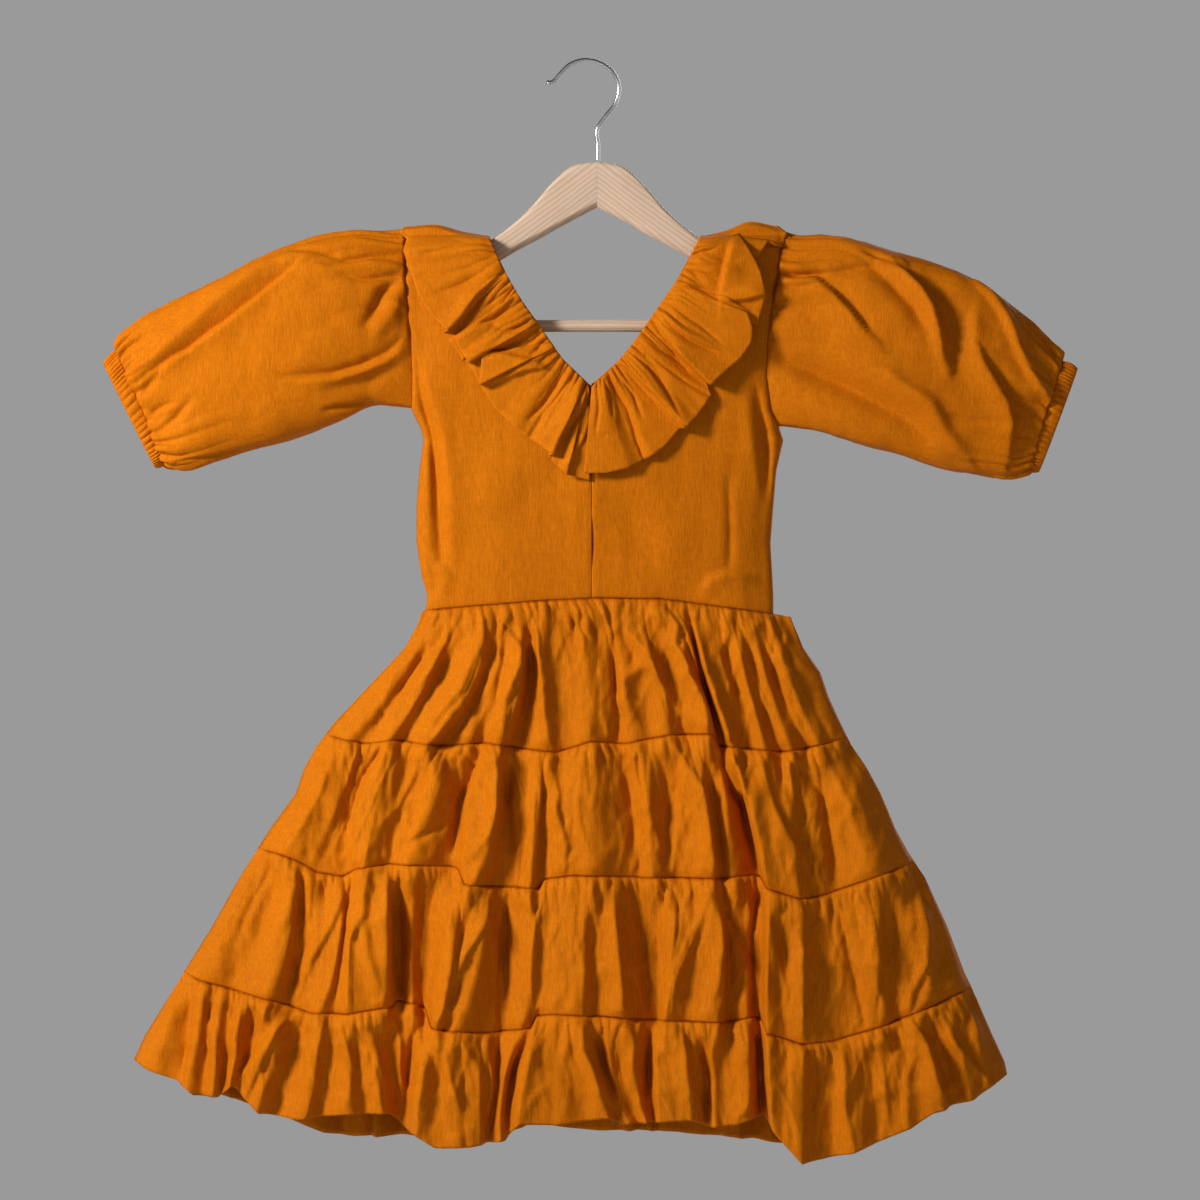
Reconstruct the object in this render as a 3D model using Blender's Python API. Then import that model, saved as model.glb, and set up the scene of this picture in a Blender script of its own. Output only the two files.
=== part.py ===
"""A girl's tiered dress with puff sleeves and a V-neck ruffle, on a wooden hanger.

The cloth is a set of thin walls lofted through sections: two front and two back bodice panels, two
sleeves with elastic cuffs, four lengths of neck ruffle, and four gathered skirt tiers, each with a front
and a back. Lengths are in metres, +Z is up, the front faces -Y, and the origin is where the hook rests on
its rail.

The front view is charted on a grid: across grows to the right and down grows downwards, and one unit is
UNIT metres.
"""

import math
from collections import namedtuple

import bmesh
import bpy
import numpy as np
from mathutils import Vector

# Driving sizes
DRESS_LENGTH = 0.749
WALL = 0.0015
SEAM_GAP = 0.0003
HANGER_THICKNESS = 0.012
BAR_DIAMETER = 0.0096
HOOK_WIRE = 0.0032
MILLIMETRE = 0.001

# The chart: the dress spans this many units from shoulder to hem, and the hook rests at HOOK_AT.
LENGTH_UNITS = 936
UNIT = DRESS_LENGTH / LENGTH_UNITS
HOOK_AT = (587, 62)

# Depths of the flattened body, from its middle plane to the front or back cloth
WAIST_DEPTH = 0.015
CHEST_DEPTH = 0.018
ARMHOLE_DEPTH = 0.012
HEM_DEPTH = 0.040
SHOULDER_ROLL = 0.013
RUFFLE_LIFT = 0.0032
RUFFLE_SEAM_LIFT = 0.0021
RUFFLE_SHOULDER_LIFT = 0.0012

CENTRE_SEAM = 592
UNDERARM_LEFT = 410
UNDERARM_RIGHT = 430
SHOULDER_DOWN = 236
WAIST_DOWN = 606
SKIRT_DOWN = 600
SKIRT_DROP = 480
CHEST_RISE = 150
SIDE_ROUND = 6

# Folds fade to nothing at the side seams, and grow over this share of a tier below each seam
SIDE_FADE = 0.030
SEAM_FADE = 0.4

ORANGE = (0.62, 0.17, 0.006, 1.0)
WOOD = (0.62, 0.44, 0.30, 1.0)
STEEL = (0.62, 0.63, 0.64, 1.0)

Edge = namedtuple("Edge", "down left right")
Spot = namedtuple("Spot", "place across down depth")
Line = namedtuple("Line", "across down")
Fold = namedtuple("Fold", "top middle foot rise")
Limb = namedtuple("Limb", "top_across top_down low_across low_down depth")
Frill = namedtuple("Frill", "neck_across neck_down edge_across edge_down")
Flute = namedtuple("Flute", "at_neck at_edge rise")

# Side outlines of the bodice from the waist up to the shoulder: side seams, then armholes
BODICE_SIDES = [
    Edge(620, 424, 773),
    Edge(592, 428, 773),
    Edge(572, 422, 772),
    Edge(540, 417, 770),
    Edge(505, 417, 773),
    Edge(470, 420, 776),
    Edge(440, 424, 783),
    Edge(428, 421, 779),
    Edge(410, 412, 770),
    Edge(377, 413, 766),
    Edge(345, 412, 767),
    Edge(306, 408, 771),
    Edge(275, 406, 777),
    Edge(248, 406, 780),
    Edge(232, 407, 780),
]

# Neckline: a V, front and back alike
NECK_SIDES = [
    Edge(386, 590, 590),
    Edge(380, 584, 598),
    Edge(360, 563, 620),
    Edge(340, 549, 636),
    Edge(320, 535, 650),
    Edge(300, 521, 664),
    Edge(280, 509, 677),
    Edge(262, 500, 687),
    Edge(236, 489, 701),
]

# Side outlines of the skirt
SKIRT_SIDES = [
    Edge(598, 427, 786),
    Edge(612, 422, 789),
    Edge(624, 418, 793),
    Edge(648, 405, 803),
    Edge(672, 382, 820),
    Edge(696, 359, 828),
    Edge(720, 336, 839),
    Edge(744, 317, 851),
    Edge(768, 304, 867),
    Edge(792, 296, 880),
    Edge(828, 270, 895),
    Edge(852, 255, 908),
    Edge(876, 240, 924),
    Edge(924, 213, 946),
    Edge(972, 183, 964),
    Edge(984, 176, 970),
    Edge(1032, 146, 991),
    Edge(1060, 133, 1004),
    Edge(1090, 130, 1010),
]

WAIST = [
    Line(420, 611),
    Line(475, 606),
    Line(540, 601),
    Line(600, 598),
    Line(660, 599),
    Line(700, 604),
    Line(745, 610),
    Line(792, 617),
]

# Seams under each front tier
FRONT_SEAMS = [
    [
        Line(315, 731), Line(345, 739), Line(364, 743), Line(397, 739), Line(440, 745), Line(487, 742),
        Line(520, 747), Line(556, 752), Line(590, 741), Line(625, 743), Line(670, 734), Line(710, 733),
        Line(728, 747), Line(783, 751), Line(808, 747), Line(852, 736),
    ],
    [
        Line(252, 846), Line(283, 853), Line(303, 861), Line(320, 871), Line(345, 875), Line(358, 867),
        Line(392, 862), Line(455, 865), Line(474, 883), Line(535, 886), Line(552, 876), Line(575, 873),
        Line(655, 876), Line(720, 876), Line(752, 873), Line(772, 888), Line(798, 896), Line(825, 892),
        Line(880, 873), Line(915, 860),
    ],
    [
        Line(178, 969), Line(205, 979), Line(240, 988), Line(279, 998), Line(312, 1009), Line(350, 1010),
        Line(386, 1004), Line(402, 997), Line(418, 1000), Line(438, 1025), Line(490, 1029), Line(528, 1026),
        Line(553, 1010), Line(600, 1012), Line(650, 1016), Line(725, 1018), Line(752, 1013), Line(774, 1031),
        Line(800, 1039), Line(830, 1037), Line(880, 1022), Line(925, 1005), Line(972, 985),
    ],
    [
        Line(130, 1056), Line(150, 1067), Line(180, 1077), Line(196, 1091), Line(222, 1093), Line(236, 1081),
        Line(262, 1108), Line(300, 1114), Line(345, 1109), Line(392, 1108), Line(410, 1126), Line(437, 1142),
        Line(470, 1141), Line(506, 1135), Line(520, 1118), Line(560, 1119), Line(608, 1112), Line(622, 1119),
        Line(690, 1114), Line(708, 1122), Line(735, 1119), Line(760, 1110), Line(776, 1130), Line(800, 1157),
        Line(850, 1147), Line(908, 1123), Line(928, 1108), Line(970, 1096), Line(1009, 1072),
    ],
]

# Seams under each back tier, and the back hem, which hangs a little lower than the front
BACK_SEAMS = [
    [
        Line(315, 731), Line(400, 741), Line(500, 746), Line(600, 744), Line(700, 747), Line(790, 745),
        Line(852, 736),
    ],
    [
        Line(252, 846), Line(330, 862), Line(430, 874), Line(540, 880), Line(650, 878), Line(760, 884),
        Line(850, 876), Line(915, 860),
    ],
    [
        Line(178, 969), Line(250, 993), Line(350, 1015), Line(450, 1024), Line(560, 1022), Line(680, 1024),
        Line(800, 1028), Line(890, 1014), Line(972, 985),
    ],
    [
        Line(130, 1056), Line(160, 1077), Line(200, 1094), Line(235, 1105), Line(270, 1119), Line(320, 1138),
        Line(350, 1143), Line(400, 1140), Line(450, 1143), Line(505, 1139), Line(530, 1128), Line(570, 1134),
        Line(600, 1137), Line(645, 1135), Line(690, 1140), Line(740, 1142), Line(790, 1150), Line(850, 1140),
        Line(910, 1114), Line(960, 1094), Line(1009, 1072),
    ],
]

# Folds of each tier, left to right: where the line of a crest or a hollow crosses the top, middle and foot
# of the tier, and how far in millimetres it rises from the tier's smooth form.
TIER_FOLDS = [
    [
        Fold(436, 400, 348, 4), Fold(443, 412, 362, -3), Fold(453, 430, 390, 6), Fold(463, 441, 404, -4),
        Fold(480, 474, 428, 9), Fold(490, 485, 442, -5), Fold(497, 496, 468, 3), Fold(504, 503, 480, -2),
        Fold(513, 522, 500, 8), Fold(524, 531, 514, -7), Fold(535, 542, 546, 3), Fold(547, 556, 562, -3),
        Fold(572, 586, 590, 6), Fold(598, 610, 617, -6), Fold(610, 622, 634, 4), Fold(618, 636, 650, 1),
        Fold(632, 654, 668, 7), Fold(652, 668, 684, -3), Fold(676, 690, 708, 9), Fold(685, 702, 722, -9),
        Fold(694, 710, 732, 8), Fold(712, 730, 746, -1), Fold(727, 744, 764, 6), Fold(738, 754, 780, -5),
        Fold(748, 766, 790, 6), Fold(758, 776, 806, -5), Fold(768, 788, 818, 5), Fold(778, 798, 832, -2),
    ],
    [
        Fold(336, 318, 283, 5), Fold(354, 342, 322, -4), Fold(366, 352, 350, -6), Fold(398, 378, 366, 7),
        Fold(424, 404, 390, -4), Fold(452, 426, 410, 5), Fold(470, 462, 452, -9), Fold(489, 494, 472, 10),
        Fold(504, 508, 500, -7), Fold(526, 524, 518, -4), Fold(541, 536, 530, 4), Fold(547, 543, 540, -5),
        Fold(557, 556, 562, 2), Fold(586, 590, 592, 9), Fold(624, 633, 638, -5), Fold(640, 649, 652, 2),
        Fold(664, 678, 674, -7), Fold(688, 702, 712, 7), Fold(700, 714, 721, -4), Fold(713, 725, 732, 3),
        Fold(726, 744, 758, -11), Fold(736, 752, 768, 11), Fold(760, 778, 797, 12), Fold(786, 806, 816, 2),
        Fold(812, 827, 833, -1), Fold(832, 860, 876, 8), Fold(842, 880, 896, 1),
    ],
    [
        Fold(270, 242, 200, 5), Fold(284, 264, 234, -3), Fold(297, 290, 270, 7), Fold(305, 303, 292, -7),
        Fold(322, 318, 306, -3), Fold(344, 338, 322, 6), Fold(352, 347, 336, -1), Fold(367, 355, 352, 8),
        Fold(386, 388, 386, 5), Fold(397, 399, 402, -13), Fold(420, 414, 414, -3), Fold(438, 430, 424, -12),
        Fold(462, 450, 438, 10), Fold(472, 460, 446, 5), Fold(489, 478, 456, 12), Fold(498, 497, 492, -4),
        Fold(508, 504, 502, -10), Fold(534, 530, 522, 2), Fold(545, 541, 536, -4), Fold(560, 560, 556, 6),
        Fold(584, 582, 582, 9), Fold(595, 594, 596, 0), Fold(611, 617, 623, 7), Fold(622, 632, 636, -3),
        Fold(652, 657, 655, -9), Fold(672, 674, 664, 6), Fold(694, 690, 684, 2), Fold(712, 720, 716, 9),
        Fold(724, 729, 728, -7), Fold(744, 748, 746, 1), Fold(758, 758, 758, -10), Fold(768, 766, 765, 11),
        Fold(780, 778, 784, 7), Fold(795, 801, 801, 12), Fold(820, 832, 842, 2), Fold(862, 874, 878, 7),
        Fold(880, 892, 896, -1), Fold(900, 928, 914, 6), Fold(908, 938, 946, 0),
    ],
    [
        Fold(188, 166, 148, 4), Fold(196, 190, 180, -4), Fold(205, 200, 190, 5), Fold(213, 210, 206, -4),
        Fold(221, 220, 216, 3), Fold(230, 230, 224, -5), Fold(243, 241, 232, 4), Fold(257, 252, 241, -5),
        Fold(272, 262, 249, 2), Fold(288, 276, 260, 8), Fold(304, 292, 272, -5), Fold(322, 316, 306, 7),
        Fold(333, 328, 320, -3), Fold(348, 349, 352, 6), Fold(357, 362, 368, -1), Fold(371, 379, 388, 6),
        Fold(396, 397, 398, -12), Fold(420, 412, 408, -6), Fold(436, 424, 418, 8), Fold(446, 440, 436, 5),
        Fold(456, 456, 462, 10), Fold(480, 480, 480, 5), Fold(494, 492, 490, -9), Fold(516, 502, 500, 3),
        Fold(530, 514, 510, -6), Fold(546, 530, 520, 9), Fold(564, 562, 566, 7), Fold(572, 574, 582, 3),
        Fold(583, 592, 608, 9), Fold(594, 604, 618, -6), Fold(606, 612, 628, 2), Fold(620, 620, 638, -4),
        Fold(634, 634, 646, 4), Fold(648, 648, 652, -8), Fold(658, 658, 660, 8), Fold(676, 684, 690, 8),
        Fold(696, 702, 704, -8), Fold(710, 710, 714, 4), Fold(722, 724, 724, -1), Fold(738, 746, 744, 6),
        Fold(756, 758, 762, -11), Fold(768, 768, 773, 10), Fold(784, 788, 798, 12), Fold(806, 808, 812, 4),
        Fold(820, 824, 828, 0), Fold(840, 850, 856, 9), Fold(860, 870, 876, 1), Fold(882, 894, 902, 4),
        Fold(906, 926, 938, 11), Fold(918, 938, 950, -3), Fold(932, 956, 968, 5), Fold(944, 968, 980, -1),
        Fold(954, 980, 992, 5),
    ],
]

LEFT_SLEEVE = [
    Limb(405, 238, 411, 408, 0.012), Limb(388, 237, 394, 406, 0.017), Limb(352, 234, 372, 406, 0.023),
    Limb(310, 240, 335, 423, 0.028), Limb(265, 259, 290, 440, 0.030), Limb(220, 280, 245, 453, 0.029),
    Limb(180, 299, 210, 464, 0.026), Limb(145, 318, 188, 470, 0.021), Limb(123, 338, 173, 466, 0.015),
    Limb(117, 350, 166, 460, 0.011),
]
LEFT_CUFF = [LEFT_SLEEVE[-1], Limb(104, 364, 155, 467, 0.0105)]

RIGHT_SLEEVE = [
    Limb(781, 238, 778, 426, 0.012), Limb(800, 240, 796, 427, 0.017), Limb(840, 238, 835, 435, 0.023),
    Limb(880, 248, 868, 446, 0.028), Limb(925, 260, 905, 457, 0.030), Limb(965, 275, 945, 469, 0.029),
    Limb(1003, 300, 980, 475, 0.026), Limb(1032, 326, 1006, 477, 0.020), Limb(1051, 349, 1022, 472, 0.014),
    Limb(1062, 362, 1027, 467, 0.011),
]
RIGHT_CUFF = [RIGHT_SLEEVE[-1], Limb(1077, 369, 1039, 471, 0.0105)]

SLEEVE_PLEATS = 9
CUFF_GATHERS = 11

# Neck ruffle: its sewn edge on the neckline and its free edge, from the shoulder down to the point of the V
LEFT_FRILL = [
    Frill(489, 236, 405, 231), Frill(496, 252, 408, 262), Frill(505, 272, 418, 300),
    Frill(521, 300, 440, 336), Frill(535, 320, 463, 366), Frill(549, 340, 484, 402),
    Frill(563, 360, 520, 434), Frill(576, 373, 548, 460), Frill(585, 382, 570, 479),
    Frill(589, 388, 589, 482),
]
RIGHT_FRILL = [
    Frill(701, 236, 776, 231), Frill(694, 250, 772, 262), Frill(683, 272, 767, 300),
    Frill(664, 300, 757, 334), Frill(650, 320, 742, 366), Frill(636, 340, 716, 398),
    Frill(620, 360, 690, 428), Frill(607, 374, 655, 459), Frill(597, 383, 622, 474),
    Frill(592, 388, 592, 479),
]

# Flutes of the ruffle, as shares along the neckline and along the free edge
LEFT_FLUTES = [
    Flute(0.04, 0.05, 5), Flute(0.09, 0.10, 1), Flute(0.14, 0.15, 4), Flute(0.19, 0.20, 1),
    Flute(0.25, 0.27, 9), Flute(0.30, 0.31, 0), Flute(0.36, 0.36, 5), Flute(0.41, 0.41, 1),
    Flute(0.47, 0.46, 6), Flute(0.52, 0.51, 0), Flute(0.57, 0.57, 10), Flute(0.62, 0.61, 1),
    Flute(0.68, 0.68, 4), Flute(0.73, 0.73, 1), Flute(0.79, 0.80, 8), Flute(0.84, 0.84, 0),
    Flute(0.89, 0.90, 7), Flute(0.95, 0.95, 1),
]
RIGHT_FLUTES = [
    Flute(0.04, 0.04, 6), Flute(0.09, 0.09, 1), Flute(0.15, 0.16, 10), Flute(0.21, 0.21, 2),
    Flute(0.27, 0.27, 5), Flute(0.32, 0.32, 0), Flute(0.38, 0.39, 8), Flute(0.43, 0.43, 1),
    Flute(0.48, 0.48, 4), Flute(0.53, 0.53, 1), Flute(0.59, 0.60, 7), Flute(0.64, 0.64, 0),
    Flute(0.69, 0.69, 5), Flute(0.74, 0.74, 1), Flute(0.80, 0.81, 8), Flute(0.86, 0.86, 1),
    Flute(0.91, 0.92, 5), Flute(0.96, 0.96, 1),
]

# Hanger: outline of an arm from the middle joint outwards and back, and the hook's wire from the wood to
# its tip
ARM_TOP = [
    Line(597, 161), Line(584, 164), Line(570, 172), Line(553, 189), Line(530, 209), Line(508, 228),
    Line(489, 241.6), Line(465, 254), Line(446, 268), Line(436, 286), Line(434, 310),
]
ARM_LOW = [
    Line(434, 332), Line(442, 339), Line(457, 336), Line(457, 312), Line(463, 294), Line(478, 278),
    Line(504, 260), Line(535, 243), Line(561, 230), Line(580, 219), Line(597, 207),
]
ARM_MIDDLE = 597
BAR_DOWN = 326
BAR_REACH = (458.1, 735.9)
HOOK_PATH = [
    Line(598, 160.5), Line(598, 145), Line(597, 130), Line(605, 117), Line(615, 104), Line(619, 88),
    Line(614, 74), Line(602, 64), Line(586, 60), Line(571, 64), Line(561, 73), Line(554, 81),
    Line(546, 84),
]


def across(chart):
    return (chart - HOOK_AT[0]) * UNIT


def height(chart):
    return (HOOK_AT[1] - chart) * UNIT


def read(table, at, key, value):
    """The table's value column at a place along its key column, straight between rows."""
    rows = sorted((getattr(row, key), getattr(row, value)) for row in table)
    return float(np.interp(at, [row[0] for row in rows], [row[1] for row in rows]))


def ease(share):
    share = min(max(share, 0.0), 1.0)
    return share * share * (3 - 2 * share)


def material(name, colour, roughness, metallic=0.0):
    made = bpy.data.materials.new(name)
    made.use_nodes = True
    shader = made.node_tree.nodes["Principled BSDF"]
    shader.inputs["Base Color"].default_value = colour
    shader.inputs["Roughness"].default_value = roughness
    shader.inputs["Metallic"].default_value = metallic
    return made


def clear_scene():
    for obj in list(bpy.data.objects):
        bpy.data.objects.remove(obj, do_unlink=True)


def add_object(name, data, finish, collection):
    obj = bpy.data.objects.new(name, data)
    obj.data.materials.append(finish)
    collection.objects.link(obj)
    return obj


# Walls lofted through rows of points


def bridge(lower, upper, first, second):
    """Triangles between two rows whose points lie at the shares lower and upper along them."""
    faces, i, j = [], 0, 0
    while i < len(lower) - 1 or j < len(upper) - 1:
        step_lower = j == len(upper) - 1 or (i < len(lower) - 1 and lower[i + 1] <= upper[j + 1])
        if step_lower:
            faces.append((first + i, first + i + 1, second + j))
            i += 1
        else:
            faces.append((first + i, second + j + 1, second + j))
            j += 1
    return faces


def wall(name, rows, shares, normals, finish, collection, closed=False):
    """A closed wall WALL thick around the surface through rows of points.

    Rows may hold unlike numbers of points, and shares place each point along its row. A closed wall's rows
    are rings.
    """
    starts, outer, inner = [], [], []
    for points, outward in zip(rows, normals):
        starts.append(len(outer))
        for point, normal in zip(points, outward):
            outer.append(point + normal * (WALL / 2))
            inner.append(point - normal * (WALL / 2))
    count = len(outer)
    faces = []
    for k in range(len(rows) - 1):
        one, two = shares[k], shares[k + 1]
        if closed:
            size = len(rows[k])
            for i in range(size):
                j = (i + 1) % size
                a, b, c, d = starts[k] + i, starts[k] + j, starts[k + 1] + j, starts[k + 1] + i
                faces += [(a, b, c), (a, c, d)]
        else:
            faces += bridge(one, two, starts[k], starts[k + 1])
    faces += [tuple(count + i for i in reversed(face)) for face in faces]
    rims = []
    for k, turn in ((0, False), (len(rows) - 1, True)):
        size = len(rows[k])
        for i in range(size if closed else size - 1):
            a, b = starts[k] + i, starts[k] + (i + 1) % size
            rims.append((b, a, count + a, count + b) if not turn else (a, b, count + b, count + a))
    if not closed:
        for k in range(len(rows) - 1):
            a, d = starts[k], starts[k + 1]
            b, c = starts[k] + len(rows[k]) - 1, starts[k + 1] + len(rows[k + 1]) - 1
            rims += [(a, d, count + d, count + a), (c, b, count + b, count + c)]
    mesh = bpy.data.meshes.new(name)
    mesh.from_pydata([tuple(p) for p in outer + inner], [], faces + rims)
    made = bmesh.new()
    made.from_mesh(mesh)
    bmesh.ops.recalc_face_normals(made, faces=made.faces)
    made.to_mesh(mesh)
    made.free()
    mesh.shade_smooth()
    mesh.set_sharp_from_angle(angle=math.radians(50))
    return add_object(name, mesh, finish, collection)


def section_normals(points, ends):
    """Outward normals of a level front section: square to it in plan, with the two ends as given."""
    found = []
    for i in range(len(points)):
        if i in (0, len(points) - 1):
            found.append(Vector(ends[0 if i == 0 else 1]))
            continue
        before = points[max(i - 1, 0)]
        after = points[min(i + 1, len(points) - 1)]
        here = points[i]
        one, two = here - before, after - here
        one.z = two.z = 0
        square = Vector((0, 0, 0))
        for step in (one, two):
            if step.length > 1e-6:
                square += Vector((step.y, -step.x, 0)).normalized()
        square.normalize()
        if square.dot(Vector((0, -1, 0))) < 0:
            square = -square
        found.append(square)
    return found


def surface_normals(rows, side):
    """Normals of a grid of points, from the steps to the neighbours, facing out of the side's Y."""
    found = []
    for k, points in enumerate(rows):
        line = []
        for i in range(len(points)):
            step = points[min(i + 1, len(points) - 1)] - points[max(i - 1, 0)]
            down = rows[min(k + 1, len(rows) - 1)][i] - rows[max(k - 1, 0)][i]
            normal = step.cross(down).normalized()
            line.append(-normal if normal.y * side > 0 else normal)
        found.append(line)
    return found


# Skirt


def skirt_middle(down):
    """The middle of the skirt and half its width."""
    left, right = (read(SKIRT_SIDES, down, "down", side) for side in ("left", "right"))
    return (left + right) / 2, (right - left) / 2


def skirt_depth(at, down):
    """Depth of the skirt's smooth form, and how strongly folds show there. Both fade at the side seams."""
    middle, half = skirt_middle(down)
    share = min(abs(at - middle) / half, 1.0)
    full = WAIST_DEPTH + (HEM_DEPTH - WAIST_DEPTH) * ease((down - SKIRT_DOWN) / SKIRT_DROP) ** 0.8
    from_side = (half - abs(at - middle)) * UNIT
    return full * (1 - share**5) ** 0.5, ease(from_side / SIDE_FADE)


def profile_depth(profile, at):
    return float(np.interp(at, [point[0] for point in profile], [point[1] for point in profile]))


def side_spots(side, place, share, seams):
    """The edge of a tier at a side seam, and the spot just inside it that rounds the edge."""
    end = 0 if side == "left" else -1
    inward = SIDE_ROUND if side == "left" else -SIDE_ROUND
    down = (1 - share) * seams[0][end].down + share * seams[1][end].down
    at = read(SKIRT_SIDES, down, "down", side)
    smooth, _ = skirt_depth(at + inward, down)
    edge = Spot(place, at, down, SEAM_GAP / 2)
    return [edge, Spot(place + math.copysign(0.5, inward), at + inward, down, smooth)]


def fold_spot(place, fold, share, seams, above):
    """Where a fold's line crosses a section of the tier.

    Below its seam a tier starts with the folds of the one above.
    """
    ahead = fold.top * (1 - share) * (1 - 2 * share) + fold.foot * share * (2 * share - 1)
    at = ahead + fold.middle * 4 * share * (1 - share)
    top_down = read(seams[0], fold.top, "across", "down")
    foot_down = read(seams[1], fold.foot, "across", "down")
    down = (1 - share) * top_down + share * foot_down
    smooth, strength = skirt_depth(at, down)
    own = smooth + fold.rise * MILLIMETRE * strength
    kept = ease(share / SEAM_FADE)
    return Spot(place, at, down, own * kept + profile_depth(above, at) * (1 - kept))


def tier_row(folds, share, seams, above):
    """One section of a tier, from its left side to its right."""
    left = side_spots("left", 0.0, share, seams)
    right = side_spots("right", len(folds) + 1.0, share, seams)
    row = list(left)
    for index, fold in enumerate(folds):
        spot = fold_spot(index + 1.0, fold, share, seams, above)
        if left[1].across + 3 < spot.across < right[1].across - 3:
            row.append(spot)
    return row + [right[1], right[0]]


def with_added(row, places):
    """The row with spots added on its own lines at more places across, but none near one that it has."""
    own = [spot.across for spot in row]
    added = []
    for at in places:
        if own[1] < at < own[-2] and min(abs(at - place) for place in own) >= 2.5:
            mixed = [float(np.interp(at, own, [spot[k] for spot in row])) for k in range(4)]
            added.append(Spot(mixed[0], at, mixed[2], mixed[3]))
    return sorted(list(row) + added, key=lambda spot: spot.across)


def moved_to(row, shared):
    """The shared spots with the row's own places, which join them to the next section."""
    own = [spot.across for spot in row]
    places = [spot.place for spot in row]
    return [spot._replace(place=float(np.interp(spot.across, own, places))) for spot in shared]


def point_of(spot, side, lift=0.0):
    return Vector((across(spot.across), -spot.depth * side, height(spot.down) + lift))


def waist_profile():
    """Depth of the skirt's top edge, which follows the bodice's waist."""
    places = np.linspace(SKIRT_SIDES[0].left - 3, SKIRT_SIDES[0].right + 3, 40)
    return [(float(at), skirt_depth(float(at), WAIST_DOWN)[0]) for at in places]


def back_folds(folds, top_down, foot_down):
    """Folds of a back tier: the front's, turned about the middle of the skirt."""
    levels = (top_down, (top_down + foot_down) / 2, foot_down)
    turned = []
    for fold in reversed(folds):
        lines = zip((fold.top, fold.middle, fold.foot), levels)
        places = [2 * skirt_middle(down)[0] - place for place, down in lines]
        turned.append(Fold(*places, fold.rise))
    return turned


TIER_ROWS = (0.0, 0.24, 0.5, 0.76, 1.0)
TIER_LEVELS = ((606, 742), (742, 872), (872, 1010), (1010, 1120))


def build_skirt(side, word, finish, collection):
    seams = [WAIST] + (FRONT_SEAMS if side == 1 else BACK_SEAMS)
    above = waist_profile()
    tiers = []
    for number, folds in enumerate(TIER_FOLDS):
        if side == -1:
            folds = back_folds(folds, *TIER_LEVELS[number])
        pair = (seams[number], seams[number + 1])
        rows = [tier_row(folds, share, pair, above) for share in TIER_ROWS]
        tiers.append(rows)
        above = [(spot.across, spot.depth) for spot in rows[-1]]
    for upper, lower in zip(tiers, tiers[1:]):
        shared = with_added(upper[-1], [spot.across for spot in lower[0]])
        upper[-1], lower[0] = moved_to(upper[-1], shared), moved_to(lower[0], shared)
    for number, rows in enumerate(tiers):
        lifts = [-SEAM_GAP / 2] + [0.0] * (len(rows) - 2) + [SEAM_GAP / 2]
        points = [[point_of(spot, side, lift) for spot in row] for row, lift in zip(rows, lifts)]
        shares = [[spot.place for spot in row] for row in rows]
        normals = [skirt_normals(line, side) for line in points]
        wall(f"skirt_tier_{number + 1}_{word}", points, shares, normals, finish, collection)


def skirt_normals(points, side):
    """Outward normals of a skirt section. It is worked out as a front section and turned for the back."""
    front = [Vector((p.x, p.y * side, p.z)) for p in points]
    found = section_normals(front, ((-1, 0, 0), (1, 0, 0)))
    return [Vector((n.x, n.y * side, 0)) for n in found]


# Bodice


def bodice_sides(down):
    return tuple(read(BODICE_SIDES, down, "down", side) for side in ("left", "right"))


def bodice_depth(at, down):
    """Depth of the bodice's front or back: open at the armholes, closed at the side seams and shoulders."""
    left, right = bodice_sides(down)
    middle, half = (left + right) / 2, (right - left) / 2
    share = min(abs(at - middle) / half, 1.0)
    full = WAIST_DEPTH + (CHEST_DEPTH - WAIST_DEPTH) * ease((WAIST_DOWN - down) / CHEST_RISE)
    underarm = UNDERARM_LEFT if at < middle else UNDERARM_RIGHT
    opened = math.sin(math.pi * min(max((underarm - down) / (underarm - SHOULDER_DOWN), 0.0), 1.0))
    edge = ARMHOLE_DEPTH * max(opened, 0.0) ** 0.5
    depth = edge + (full - edge) * (1 - share**4) ** 0.5
    below_top = (down - SHOULDER_DOWN) * UNIT / SHOULDER_ROLL
    closing = 1.0 if below_top >= 1 else (1 - (1 - max(below_top, 0.0)) ** 2) ** 0.5
    least = WALL / 2 + SEAM_GAP / 2
    return max(depth * closing, least if below_top < 0.02 else SEAM_GAP / 2)


def armhole_edge(down, outward):
    """Where the edge of the armhole lies, straight between the levels that the bodice is lofted through."""
    side = 0 if outward < 0 else 1
    levels = sorted(BODICE_LEVELS)
    return float(np.interp(down, levels, [bodice_sides(level)[side] for level in levels]))


BODICE_LEVELS = (570, 530, 490, 450, 431, 412, 388, 350, 310, 275, 256, 245, 239, 236)
BODICE_COLUMNS = 9


def bodice_row(down, half):
    """Spots of one half of a bodice section, from left to right. The lowest section follows the waist."""
    left, right = bodice_sides(down)
    inner = CENTRE_SEAM if down > NECK_SIDES[0].down else read(NECK_SIDES, down, "down", half)
    seam = SEAM_GAP / 2 / UNIT
    start, end = (left, inner - seam) if half == "left" else (inner + seam, right)
    places = [start + (end - start) * i / (BODICE_COLUMNS - 1) for i in range(BODICE_COLUMNS)]
    if half == "left":
        places[1] = left + SIDE_ROUND
    else:
        places[-2] = right - SIDE_ROUND
    row = []
    for i, at in enumerate(places):
        here = read(WAIST, at, "across", "down") if down == WAIST_DOWN else down
        row.append(Spot(i, at, here, bodice_depth(at, here)))
    return row


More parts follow.
